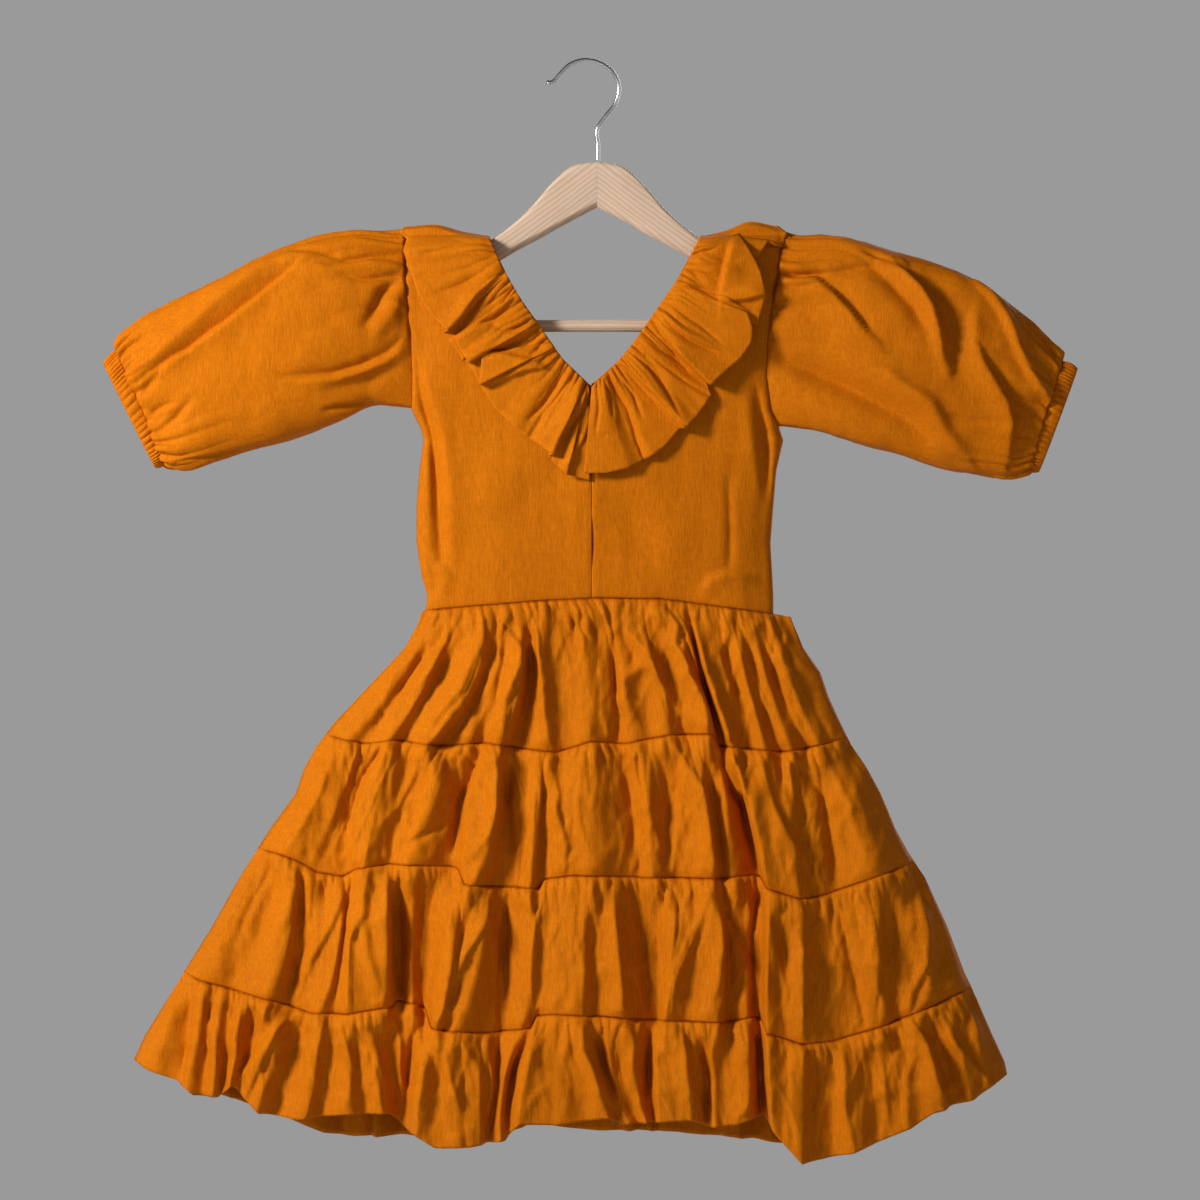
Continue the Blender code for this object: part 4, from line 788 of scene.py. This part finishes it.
def skirt_middle(down):
    left = read(SKIRT_SIDES, down, "down", "left")
    right = read(SKIRT_SIDES, down, "down", "right")
    return (left + right) / 2, (right - left) / 2


def skirt_depth(at, down):
    """Depth of the smooth form, and how strongly folds show. Both fade towards the side seams."""
    middle, half = skirt_middle(down)
    share = np.clip(np.abs(at - middle) / half, 0, 1)
    full = WAIST_DEPTH + (HEM_DEPTH - WAIST_DEPTH) * ease((down - SKIRT_TOP) / SKIRT_SPAN) ** 0.8
    from_side = (half - np.abs(at - middle)) * UNIT
    return full * np.sqrt(1 - share**5), ease(from_side / SIDE_FADE)


def back_folds(folds, top_down, foot_down):
    """Folds of a back tier: the front's, turned about the middle of the skirt."""
    levels = (top_down, (top_down + foot_down) / 2, foot_down)
    turned = []
    for fold in reversed(folds):
        lines = zip((fold.top, fold.middle, fold.foot), levels)
        places = [2 * float(skirt_middle(down)[0]) - place for place, down in lines]
        turned.append(Fold(*places, fold.rise))
    return turned


def fold_lean(tops, rises):
    """How far each fold line leans over its steeper side, so that it can overhang."""
    lean = np.zeros_like(rises)
    left, right = np.diff(tops)[:-1], np.diff(tops)[1:]
    stands = np.abs(rises[1:-1] - (rises[:-2] + rises[2:]) / 2)
    lean[1:-1] = FOLD_LEAN * stands * (left - right) / (left + right)
    return lean


def fold_lines(inside, seams, share):
    """Places of the tier's two side edges and of the fold lines between them, at shares of its length."""
    edges = []
    for end, name in ((0, "left"), (-1, "right")):
        down = (1 - share) * seams[0][end].down + share * seams[1][end].down
        edges.append(read(SKIRT_SIDES, down, "down", name))
    rest = 1 - share
    inner = [
        f.top * rest * (1 - 2 * share) + f.middle * 4 * share * rest + f.foot * share * (2 * share - 1)
        for f in inside
    ]
    return np.concatenate([edges[0]] + inner + [edges[1]], axis=1)


def tier_relief(number, side, at, down, last):
    """How far gathers, crinkles and creases lift a tier's cloth, in metres, less the dips at its seams."""
    drop, left_over = (down - down[:1]) * UNIT, (down[-1:] - down) * UNIT
    sewn = np.broadcast_to(at[:1], at.shape)
    seed = 100 * number + 10 * side + 20
    fine, broad = (g._replace(spacing=g.spacing * GATHER_SPACING[number]) for g in TIER_GATHERS)
    lift = pleated(seed, sewn, drop, fine) * ease(drop / GATHER_START + 0.1)
    lift += pleated(seed + 3, sewn, drop, broad) * ease(drop / CREASE_START)
    lift += SEAM_PUFF * ease(drop / PUFF_START) * np.exp(-drop / PUFF_REACH)
    crinkle = rippled(TIER_RIPPLES, number, at, down)
    for slant, tilt in enumerate(RIDGE_TILTS):
        lines = noise(50 + 10 * number + slant, (at + down * tilt) / RIDGE_WIDE, down / RIDGE_LONG)
        crinkle += RIDGE_RISE * (1 - np.minimum(np.abs(lines) * RIDGE_SHARPNESS, 1))
    creases = TIER_CREASES[number]
    if side == -1:
        creases = mirrored(creases, float(skirt_middle(np.mean(TIER_LEVELS[number]))[0]))
    settled = ease(drop / CREASE_START) * (1 if last else ease(left_over / CREASE_END))
    lift += (crinkle * MILLIMETRE + crease_rise(creases, at, down)) * settled
    dip = SEAM_DIP * near(drop, SEAM_REACH)
    if not last:
        dip = dip + SEAM_DIP * LOWER_SEAM * near(left_over, LOWER_SEAM * SEAM_REACH)
    return lift - dip


def tier_grid(number, side, folds, seams, above):
    """Points of a tier from its seam down to the next, a column for each line down the cloth."""
    left = float(read(SKIRT_SIDES, seams[0][0].down, "down", "left"))
    right = float(read(SKIRT_SIDES, seams[0][-1].down, "down", "right"))
    inside = [f for f in folds if left + FOLD_CLEAR < f.top < right - FOLD_CLEAR]
    tops = np.array([left] + [f.top for f in inside] + [right])
    rises = np.array([0.0] + [f.rise for f in inside] + [0.0])
    lean = fold_lean(tops, rises)
    counts = np.maximum(3, np.round(np.diff(tops) * UNIT / COLUMN_STEP[side]).astype(int))
    foot_down, top_down = (read(seam, CHART_MIDDLE, "across", "down") for seam in (seams[1], seams[0]))
    shares = np.linspace(0, 1, int((foot_down - top_down) * UNIT / ROW_STEP[side]) + 1)[:, None]
    knots = fold_lines(inside, seams, shares)
    columns, rise, shift = [], [], []
    for i, count in enumerate(counts):
        s = np.arange(count) / count
        columns.append(knots[:, i, None] * (1 - s) + knots[:, i + 1, None] * s)
        w = 0.3 * s + 0.7 * ease(s)
        rise.append(rises[i] * (1 - w) + rises[i + 1] * w)
        shift.append(lean[i] * (1 - w) + lean[i + 1] * w)
    at = np.concatenate(columns + [knots[:, -1:]], axis=1)
    rise = np.concatenate(rise + [rises[-1:]])
    shift = np.concatenate(shift + [lean[-1:]])
    top = read(seams[0], at[:1], "across", "down")
    down = (1 - shares) * top + shares * read(seams[1], at[-1:], "across", "down")
    smooth, strength = skirt_depth(at, down)
    kept = ease(shares / SEAM_FADE)
    form = (smooth + rise * MILLIMETRE * strength) * kept + np.interp(at, *above) * (1 - kept)
    last = number == len(TIER_FOLDS) - 1
    window = ease(shares / 0.3) * (1 if last else 1 - ease((shares - 0.8) / 0.2))
    at = at + shift * strength * window
    relief = tier_relief(number, side, at, down, last)
    depth = np.maximum(form + relief * ease(strength * 3), SIDE_SEAM)
    return chart_grid(at, depth, down, side), (at[-1], form[-1])


def build_skirt(side, word, material):
    seams = [WAIST] + (FRONT_SEAMS if side == 1 else BACK_SEAMS)
    places = np.linspace(SKIRT_SIDES[0].left - 8, SKIRT_SIDES[0].right + 8, 400)
    above = (places, bodice_depth(places, np.full_like(places, WAIST_DOWN)))
    for number, folds in enumerate(TIER_FOLDS):
        if side == -1:
            folds = back_folds(folds, *TIER_LEVELS[number])
        grid, above = tier_grid(number, side, folds, (seams[number], seams[number + 1]), above)
        node = f"skirt_tier_{number + 1}_{word}"
        dress_piece(shell(f"{node}_cloth", grid, side, material), node)


# Bodice


def bodice_sides(down):
    return read(BODICE_SIDES, down, "down", "left"), read(BODICE_SIDES, down, "down", "right")


def bodice_depth(at, down):
    """Depth of the bodice's front or back: open at the armholes, closed at the side seams and shoulders."""
    left, right = bodice_sides(down)
    middle, half = (left + right) / 2, (right - left) / 2
    share = np.clip(np.abs(at - middle) / half, 0, 1)
    full = WAIST_DEPTH + (CHEST_DEPTH - WAIST_DEPTH) * ease((WAIST_DOWN - down) / CHEST_RISE)
    underarm = np.where(at < middle, UNDERARM_LEFT, UNDERARM_RIGHT)
    opened = np.sin(np.pi * np.clip((underarm - down) / (underarm - SHOULDER_DOWN), 0, 1))
    edge = ARMHOLE_DEPTH * np.sqrt(np.maximum(opened, 0))
    depth = edge + (full - edge) * np.sqrt(1 - share**4)
    below_top = np.clip((down - SHOULDER_DOWN) * UNIT / SHOULDER_ROLL, 0, 1)
    return np.maximum(depth * np.sqrt(1 - (1 - below_top) ** 2), SIDE_SEAM)


def bodice_points(half, step):
    """Chart places of one half's points, the levels of its rows and its edges at each level."""
    first = SHOULDER_DOWN + ROLL_UNITS
    roll = SHOULDER_DOWN + ROLL_UNITS * np.linspace(0, 1, 12, endpoint=False) ** 2
    rest = np.linspace(first, WAIST_DOWN, int((WAIST_DOWN - first) * UNIT / step))
    levels = np.concatenate([roll, rest])[:, None]
    left, right = bodice_sides(levels)
    neck = read(NECK_SIDES, levels, "down", half)
    inner = np.where(levels > NECK_SIDES[0].down, CENTRE_SEAM, neck)
    q = np.linspace(0, 1, int(BODICE_HALF * UNIT / step))
    spread = 0.6 * q + 0.4 * (0.5 - 0.5 * np.cos(np.pi * q))
    start, end = (left, inner) if half == "left" else (inner, right)
    at = start + (end - start) * spread
    waist = read(WAIST, at, "across", "down") - WAIST_DOWN
    down = levels + waist * ease((levels - WAIST_TURN) / (WAIST_DOWN - WAIST_TURN))
    return at, down, levels, left, right


def build_bodice(side, word, half, material):
    """One half of the front or back, from the shoulder down to the waist."""
    at, down, levels, left, right = bodice_points(half, BODICE_STEP[side])
    depth = bodice_depth(at, down)
    from_centre = np.abs(at - CENTRE_SEAM) * UNIT + np.where(levels > NECK_SIDES[0].down, 0, 1)
    dip = CENTRE_DIP * near(from_centre, 0.0010) - CENTRE_RIDGE * near(from_centre - 0.0045, 0.0022)
    dip = dip + SEAM_DIP * 0.8 * near((down[-1:] - down) * UNIT, 0.0016)
    middle, reach = (left + right) / 2, (right - left) / 2
    edge = ease((reach - np.abs(at - middle)) * UNIT / 0.012) * ease((levels - SHOULDER_DOWN) / 30)
    creases = BODICE_CREASES if side == 1 else mirrored(BODICE_CREASES, CENTRE_SEAM)
    ripples = rippled(BODICE_RIPPLES, side + (2 if half == "left" else 5), at, down)
    rise = crease_rise(creases, at, down) + ripples * MILLIMETRE
    depth = np.maximum(depth + rise * edge - dip * ease((depth - 0.001) / 0.004), SIDE_SEAM)
    node = f"bodice_{word}_{half}"
    piece = shell(f"{node}_cloth", chart_grid(at, depth, down, side), side, material)
    dress_piece(piece, node)


# Sleeves and cuffs


def side_line(table, line, count):
    """Points of a tube's top or low line, evenly spaced along its table."""
    at, down = (smooth_through(column(table, f"{line}_{k}"), count) for k in ("across", "down"))
    return np.stack([across(at), np.zeros(count), height(down)], axis=1)


def sleeve_frame(table, count):
    depth = smooth_through(column(table, "depth"), count)
    return side_line(table, "top", count), side_line(table, "low", count), depth


def ring_grid(top, low, depth, count):
    """Rings of a flattened tube, each round from its top edge over the front to its low edge and back."""
    angle = 2 * np.pi * np.arange(count) / count
    up, out = np.cos(angle), np.sin(angle)
    up = np.copysign(np.abs(up) ** RING_POWER, up)[None, :, None]
    out = np.copysign(np.abs(out) ** RING_POWER, out)[None, :, None]
    middle, reach = (top + low)[:, None] / 2, (top - low)[:, None] / 2
    forward = np.array([0.0, -1.0, 0.0])
    return middle + reach * up + forward * out * depth[:, None, None], angle


def ring_gathers(seed, angle, run, girth, gather):
    """Gathers along a tube from one end. They part at its low edge, where the ring's count begins."""
    turned = (angle + math.pi) % (2 * math.pi)
    places = (turned * girth / (2 * math.pi))[None, :] + 0 * run[:, None]
    apart = ease(np.minimum(turned, 2 * math.pi - turned) / 0.2)[None, :]
    return pleated(seed, places, run[:, None] + 0 * places, gather) * apart


def build_sleeve(name, table, outward, creases, material):
    top, low, depth = sleeve_frame(table, SLEEVE_RINGS)
    grid, angle = ring_grid(top, low, depth, SLEEVE_ROUND)
    steps = np.linalg.norm(np.diff((top + low) / 2, axis=0), axis=1)
    run = np.concatenate([[0], np.cumsum(steps)])
    left_over = run[-1] - run
    down = HOOK_AT[1] - grid[0, :, 2] / UNIT
    edge = bodice_sides(down)[0 if outward < 0 else 1]
    depth_there = bodice_depth(edge, down) * np.clip(np.abs(np.sin(angle)) * 4, 0, 1)
    at_edge = np.stack([across(edge), -np.copysign(depth_there, np.sin(angle)), grid[0, :, 2]], axis=1)
    blend = (1 - ease(run / ARMHOLE_BLEND))[:, None, None]
    grid = grid + (at_edge - grid[0])[None] * blend
    normals = grid_normals(grid, -outward)
    high = np.clip(np.cos(angle) * 0.8 + 0.45, 0, 1)[None, :] * ease(run / 0.004 + 0.1)[:, None]
    near_cuff = ease(left_over / 0.003 + 0.15)[:, None]
    rise = np.zeros(grid.shape[:2])
    for k, gather in enumerate(HEAD_GATHERS):
        rise += ring_gathers(60 + 2 * k + outward, angle, run, HEAD_GIRTH, gather) * high
    for k, gather in enumerate(CUFF_GATHERS):
        rise += ring_gathers(70 + 2 * k + outward, angle, left_over, CUFF_GIRTH, gather) * near_cuff
    at, down = grid[:, :, 0] / UNIT + HOOK_AT[0], HOOK_AT[1] - grid[:, :, 2] / UNIT
    facing = np.clip(-normals[:, :, 1] * 1.6, -1, 1)
    front = SLEEVE_CREASE_GAIN * crease_rise(creases, at, down) * np.clip(facing, 0, 1)
    back = SLEEVE_CREASE_GAIN * crease_rise(creases, at + 10, down - 8) * np.clip(-facing, 0, 1)
    crinkle = 0.8 * noise(81, at / 26, down / 26 + facing * 2) + 0.35 * noise(82, at / 9, down / 20)
    body = (ease(run / 0.01) * ease(left_over / 0.01))[:, None]
    rise += (front + back + crinkle * MILLIMETRE) * body
    grid = grid + normals * rise[:, :, None]
    piece = shell(f"{name}_cloth", grid, -outward, material, closed=True)
    dress_piece(piece, name)


def build_cuff(name, table, outward, material):
    top, low, depth = sleeve_frame(table, CUFF_RINGS)
    grid, angle = ring_grid(top, low, depth, CUFF_ROUND)
    draw = np.random.default_rng(90 + outward)
    wobble = 0.9 * np.sin(3 * angle + draw.uniform(0, 6)) + 0.7 * np.sin(8 * angle + draw.uniform(0, 6))
    uneven = 0.75 + 0.25 * np.sin(11 * angle + draw.uniform(0, 6))
    ribs = uneven * np.abs(np.cos(CUFF_RIBS / 2 * angle + wobble)) ** 0.7
    bulge = np.sin(np.pi * np.linspace(0, 1, CUFF_RINGS))[:, None]
    lift = CUFF_BULGE * bulge + CUFF_RIB_RISE * ribs * (0.35 + 0.65 * bulge)
    grid = grid + grid_normals(grid, -outward) * lift[:, :, None]
    piece = shell(f"{name}_cloth", grid, -outward, material, closed=True)
    dress_piece(piece, name)


# Neck ruffle


def along(points, share):
    """Points at shares of the length of a line through points."""
    steps = np.concatenate([[0], np.cumsum(np.hypot(*np.diff(points, axis=0).T))])
    steps /= steps[-1]
    return np.stack([np.interp(share, steps, points[:, k]) for k in range(2)], axis=-1)


def spread(values, shares):
    """Values between each and the next at the same shares of every step, and then the last."""
    steps = [one * (1 - shares) + two * shares for one, two in zip(values, values[1:])]
    return np.concatenate(steps + [values[-1:]])


def build_ruffle(name, tables, side, word, material):
    """A ruffle sewn to the neckline, with gathers at its sewn edge and flaps that lap over one another."""
    neckline, flaps, creases = tables
    smooth_neck = np.stack([smooth_through(column(neckline, k), 60) for k in ("across", "down")], axis=1)
    fineness, rows = RUFFLE_GRID[side]
    s = np.arange(fineness) / fineness
    neck_u = spread(column(flaps, "neck"), s)
    edge = np.stack([spread(column(flaps, k), s) for k in ("across", "down")], axis=1)
    rise = spread(column(flaps, "rise"), 0.35 * s + 0.65 * ease(s))
    v = np.linspace(0, 1, rows)[:, None]
    neck = along(smooth_neck, neck_u)
    place = neck[None] * (1 - v[:, :, None]) + edge[None] * v[:, :, None]
    at, down = place[:, :, 0], place[:, :, 1]
    stand = SHOULDER_STAND[word] * ease(1 - neck_u / 0.15)[None] * ease(v * 1.6)
    down = down - stand * (0.85 + 0.15 * np.sin(9 * v + 2))
    closing = ease((down - SHOULDER_DOWN + 6) * UNIT / 0.016)
    lift = RUFFLE_SEAM + (RUFFLE_LIFT - RUFFLE_SEAM) * ease(v * 4) + 0.0012 * (1 - closing)
    run = v * (np.hypot(*(edge - neck).T) * UNIT)[None]
    seed = 300 + side + (4 if word == "left" else 9)
    sewn = neck_u[None] * 100 + 0 * run
    fine = pleated(seed, sewn, run, RUFFLE_GATHERS[0])
    fine += pleated(seed + 5, sewn, run, RUFFLE_GATHERS[1]) * ease(run / 0.01)
    crinkle = 0.7 * noise(310, neck_u[None] * 30, v * 2.2) + 0.6 * noise(311, at / 26, down / 26)
    fine += crinkle * MILLIMETRE * ease(v * 3)
    fine += crease_rise(creases, at, down) * ease(run / 0.004)
    raised = rise * MILLIMETRE * v**0.75 * closing + fine * np.maximum(closing, 0.15)
    if word == "right":
        raised = raised + RUFFLE_LAP * ease((neck_u - 0.9) / 0.06)[None]
    raised = np.maximum(raised, -RUFFLE_SINK)
    depth = bodice_depth(at, np.maximum(down, SHOULDER_DOWN + 0.5)) + lift + raised
    depth = np.maximum(depth, (WALL + SEAM_GAP) / 2) * (0.15 + 0.85 * ease(neck_u / 0.025))[None]
    turn = -side if word == "left" else side
    piece = shell(f"{name}_cloth", chart_grid(at, depth, down, side), turn, material)
    dress_piece(piece, name)


# Materials


def fill(tree, node, inputs):
    """Sets a node's inputs: an output of another node is linked, and anything else is a value."""
    for name, value in inputs.items():
        if isinstance(value, bpy.types.NodeSocket):
            tree.links.new(value, node.inputs[name])
        else:
            node.inputs[name].default_value = value


def add(tree, kind, output, inputs):
    """Makes a node with these inputs, and gives the named output."""
    node = tree.nodes.new(f"ShaderNode{kind}")
    fill(tree, node, inputs)
    return node.outputs[output]


def new_material(name, inputs):
    material = bpy.data.materials.new(name)
    material.use_nodes = True
    fill(material.node_tree, material.node_tree.nodes["Principled BSDF"], inputs)
    return material, material.node_tree


def finish_surface(tree, colour_from, stops, bump_from, strength, distance):
    """Colours the surface by a ramp between two stops, and raises a fine bump on it."""
    ramp = tree.nodes.new("ShaderNodeValToRGB")
    for element, (position, colour) in zip(ramp.color_ramp.elements, stops):
        element.position = position
        element.color = colour
    tree.links.new(colour_from, ramp.inputs["Fac"])
    bump = add(tree, "Bump", "Normal", {"Strength": strength, "Distance": distance, "Height": bump_from})
    surface = {"Base Color": ramp.outputs["Color"], "Normal": bump}
    fill(tree, tree.nodes["Principled BSDF"], surface)


def cloth_material():
    """Crinkled weave: fine ribs down the cloth and slubs across it."""
    sheen = {"Roughness": 0.62, "Specular IOR Level": 0.10, "Specular Tint": (1.0, 0.5, 0.12, 1.0)}
    material, tree = new_material("mustard_crepe", sheen)
    place = add(tree, "TexCoord", "Object", {})

    def texture(scale, stretch, detail, roughness=0.5):
        stretched = add(tree, "Mapping", "Vector", {"Scale": stretch, "Vector": place})
        inputs = {"Scale": scale, "Detail": detail, "Roughness": roughness, "Vector": stretched}
        return add(tree, "TexNoise", "Fac", inputs)

    def mixed(one, two, share):
        return add(tree, "Mix", "Result", {"Factor": share, "A": one, "B": two})

    ribs = texture(900, (1, 1, 0.12), 2, 0.6)
    slubs = texture(600, (0.14, 0.14, 1), 2, 0.55)
    grain = texture(1500, (1, 1, 1), 1)
    broad = texture(9, (1, 1, 0.6), 3)
    weave = mixed(mixed(ribs, slubs, 0.24), grain, 0.20)
    stops = ((0.38, CLOTH_DARK), (0.62, CLOTH_LIGHT))
    finish_surface(tree, mixed(weave, broad, 0.22), stops, weave, 0.8, 0.0005)
    return material


def wood_material(name, slope):
    """Pale satin wood, its grain falling by the slope on either side of the hanger's middle."""
    material, tree = new_material(name, {"Roughness": 0.45})
    parts = tree.nodes.new("ShaderNodeSeparateXYZ")
    fill(tree, parts, {"Vector": add(tree, "TexCoord", "Object", {})})
    aside = tree.nodes.new("ShaderNodeMath")
    aside.operation = "SUBTRACT"
    fill(tree, aside, {0: parts.outputs["X"], 1: across(ARM_MIDDLE)})
    outward = tree.nodes.new("ShaderNodeMath")
    outward.operation = "ABSOLUTE"
    fill(tree, outward, {0: aside.outputs["Value"]})
    place = {"X": outward.outputs["Value"], "Y": parts.outputs["Y"], "Z": parts.outputs["Z"]}
    both = add(tree, "CombineXYZ", "Vector", place)
    turned = add(tree, "Mapping", "Vector", {"Rotation": (0, -slope, 0), "Vector": both})
    grain = add(tree, "Mapping", "Vector", {"Scale": (0.14, 1, 1), "Vector": turned})
    warp = add(tree, "TexNoise", "Fac", {"Scale": 240, "Detail": 3, "Vector": grain})
    wave = tree.nodes.new("ShaderNodeTexWave")
    wave.wave_type = "BANDS"
    wave.bands_direction = "Z"
    fill(tree, wave, {"Scale": 90, "Distortion": 5, "Detail": 2, "Detail Scale": 1.0, "Vector": grain})
    rings = add(tree, "Mix", "Result", {"Factor": 0.6, "A": wave.outputs["Fac"], "B": warp})
    finish_surface(tree, rings, ((0.25, WOOD_DARK), (0.7, WOOD_LIGHT)), rings, 0.12, 0.0002)
    return material


def steel_material():
    """Bright drawn wire with faint marks along it."""
    material, tree = new_material("bright_steel", {"Metallic": 1.0, "Base Color": (0.66, 0.67, 0.68, 1)})
    place = add(tree, "TexCoord", "Object", {})
    marks = add(tree, "TexNoise", "Fac", {"Scale": 900, "Vector": place})
    rough = add(tree, "MapRange", "Result", {"To Min": 0.12, "To Max": 0.28, "Value": marks})
    fill(tree, tree.nodes["Principled BSDF"], {"Roughness": rough})
    return material


# Stage


def placed(name, data):
    """A new object with this data, in the scene."""
    made = bpy.data.objects.new(name, data)
    bpy.context.scene.collection.objects.link(made)
    return made


def build_stage():
    bpy.ops.mesh.primitive_circle_add(vertices=96, radius=2.4, fill_type="NGON", location=(0, 0, -1.32))
    floor = bpy.context.object
    floor.name = "floor"
    pale = new_material("pale_floor", {"Base Color": (0.62, 0.62, 0.62, 1), "Roughness": 0.7})[0]
    floor.data.materials.append(pale)
    camera_data = bpy.data.cameras.new("camera")
    camera_data.lens = 150
    camera_data.sensor_width = 36
    camera = placed("camera", camera_data)
    camera.location = (across(CHART_MIDDLE), -CAMERA_DISTANCE, height(CHART_MIDDLE))
    camera.rotation_euler = (math.radians(90), 0, 0)
    bpy.context.scene.camera = camera
    world = bpy.data.worlds.new("studio")
    world.use_nodes = True
    tree = world.node_tree
    up = add(tree, "SeparateXYZ", "Z", {"Vector": add(tree, "TexCoord", "Generated", {})})
    range_of = {"From Min": 0.18, "From Max": 0.50, "To Min": 0.323, "To Max": 0.06, "Value": up}
    fill(tree, tree.nodes["Background"], {"Color": add(tree, "MapRange", "Result", range_of)})
    bpy.context.scene.world = world
    bpy.context.scene.view_settings.view_transform = "Standard"
    for name, place, size, energy in LIGHTS:
        data = bpy.data.lights.new(name, "AREA")
        data.size = size
        data.energy = energy
        light = placed(name, data)
        light.location = place
        light.rotation_mode = "QUATERNION"
        light.rotation_quaternion = (Vector(LIT_AT) - Vector(place)).to_track_quat("-Z", "Y")


# Hanger


def smooth_grid(table, count):
    """Columns of a table read smoothly at evenly spaced places, one row for each."""
    return np.stack([smooth_through(values, count) for values in zip(*table)], axis=1)


def solid_piece(name, rings, material):
    """A closed mesh through rings of points, capped at both ends."""
    count, size = len(rings), len(rings[0])
    faces = [tuple(range(size))[::-1]]
    for k in range(count - 1):
        for i in range(size):
            j = (i + 1) % size
            faces.append((k * size + i, k * size + j, (k + 1) * size + j, (k + 1) * size + i))
    faces.append(tuple((count - 1) * size + i for i in range(size)))
    mesh = bpy.data.meshes.new(name)
    mesh.from_pydata([tuple(p) for ring in rings for p in ring], [], faces)
    mesh.materials.append(material)
    made = bmesh.new()
    made.from_mesh(mesh)
    bmesh.ops.recalc_face_normals(made, faces=made.faces)
    made.to_mesh(mesh)
    made.free()
    mesh.shade_smooth()
    mesh.set_sharp_from_angle(angle=math.radians(40))
    return placed(name, mesh)


def build_arm(word, material):
    """An arm of the hanger: flat faces, a small round on top and a wide bevel along the low edge."""
    turn = 1 if word == "left" else -1
    half = HANGER_THICKNESS / 2
    rings = []
    for top_across, top_down, low_across, low_down in smooth_grid(ARM_SECTIONS, 90):
        top = np.array([ARM_MIDDLE - turn * (ARM_MIDDLE - top_across + 0.2), top_down])
        low = np.array([ARM_MIDDLE - turn * (ARM_MIDDLE - low_across + 0.2), low_down])
        size = np.linalg.norm(low - top)
        ring = []
        for units, out in ARM_PROFILE:
            share = units / size if units >= 0 else 1 + units / size
            place = top + (low - top) * share
            ring.append((across(place[0]), -out * half, height(place[1])))
        back = [(x, -y, z) for x, y, z in reversed(ring)]
        rings.append(ring + back)
    piece = solid_piece(f"hanger_arm_{word}_wood", rings, material)
    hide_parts(f"hanger_arm_{word}")
    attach(piece, "root")


def build_hook(material):
    """The hook's wire, with a small ball at its tip."""
    path = smooth_grid(HOOK_PATH, 160)
    centres = np.stack([across(path[:, 0]), np.zeros(len(path)), height(path[:, 1])], axis=1)
    steps = np.gradient(centres, axis=0)
    steps /= np.linalg.norm(steps, axis=1, keepdims=True)
    run = np.concatenate([[0], np.cumsum(np.linalg.norm(np.diff(centres, axis=0), axis=1))])
    to_tip = run[-1] - run
    angles = np.linspace(0, 2 * np.pi, 20, endpoint=False)
    rings = []
    for centre, step, gap in zip(centres, steps, to_tip):
        ball = BALL_RADIUS**2 - (gap - BALL_RADIUS) ** 2
        radius = max(HOOK_WIRE / 2 if gap > BALL_RADIUS else 0.0002, math.sqrt(max(ball, 0)))
        square = np.array([step[2], 0, -step[0]])
        turns = [math.cos(a) * square + math.sin(a) * np.array([0, 1, 0]) for a in angles]
        rings.append([centre + radius * turn for turn in turns])
    piece = solid_piece("hanger_hook_wire", rings, material)
    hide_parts("hanger_hook")
    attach(piece, "root")


RUFFLES = {
    "left": (LEFT_NECK, LEFT_FLAPS, LEFT_RUFFLE_CREASES),
    "right": (RIGHT_NECK, RIGHT_FLAPS, RIGHT_RUFFLE_CREASES),
}


def main():
    build_stage()
    cloth = cloth_material()
    for side, word in ((1, "front"), (-1, "back")):
        build_skirt(side, word, cloth)
        for half in ("left", "right"):
            build_bodice(side, word, half, cloth)
        for half, tables in RUFFLES.items():
            build_ruffle(f"ruffle_{word}_{half}", tables, side, half, cloth)
    build_sleeve("sleeve_left", LEFT_SLEEVE, -1, SLEEVE_LEFT_CREASES, cloth)
    build_sleeve("sleeve_right", RIGHT_SLEEVE, 1, SLEEVE_RIGHT_CREASES, cloth)
    build_cuff("cuff_left", LEFT_CUFF, -1, cloth)
    build_cuff("cuff_right", RIGHT_CUFF, 1, cloth)
    wood, steel = wood_material("pale_wood", ARM_SLOPE), steel_material()
    bar_wood = wood_material("pale_bar_wood", 0)
    build_arm("left", wood)
    build_arm("right", wood)
    build_hook(steel)
    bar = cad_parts["hanger_bar"]
    bar.data.materials.clear()
    bar.data.materials.append(bar_wood)


main()
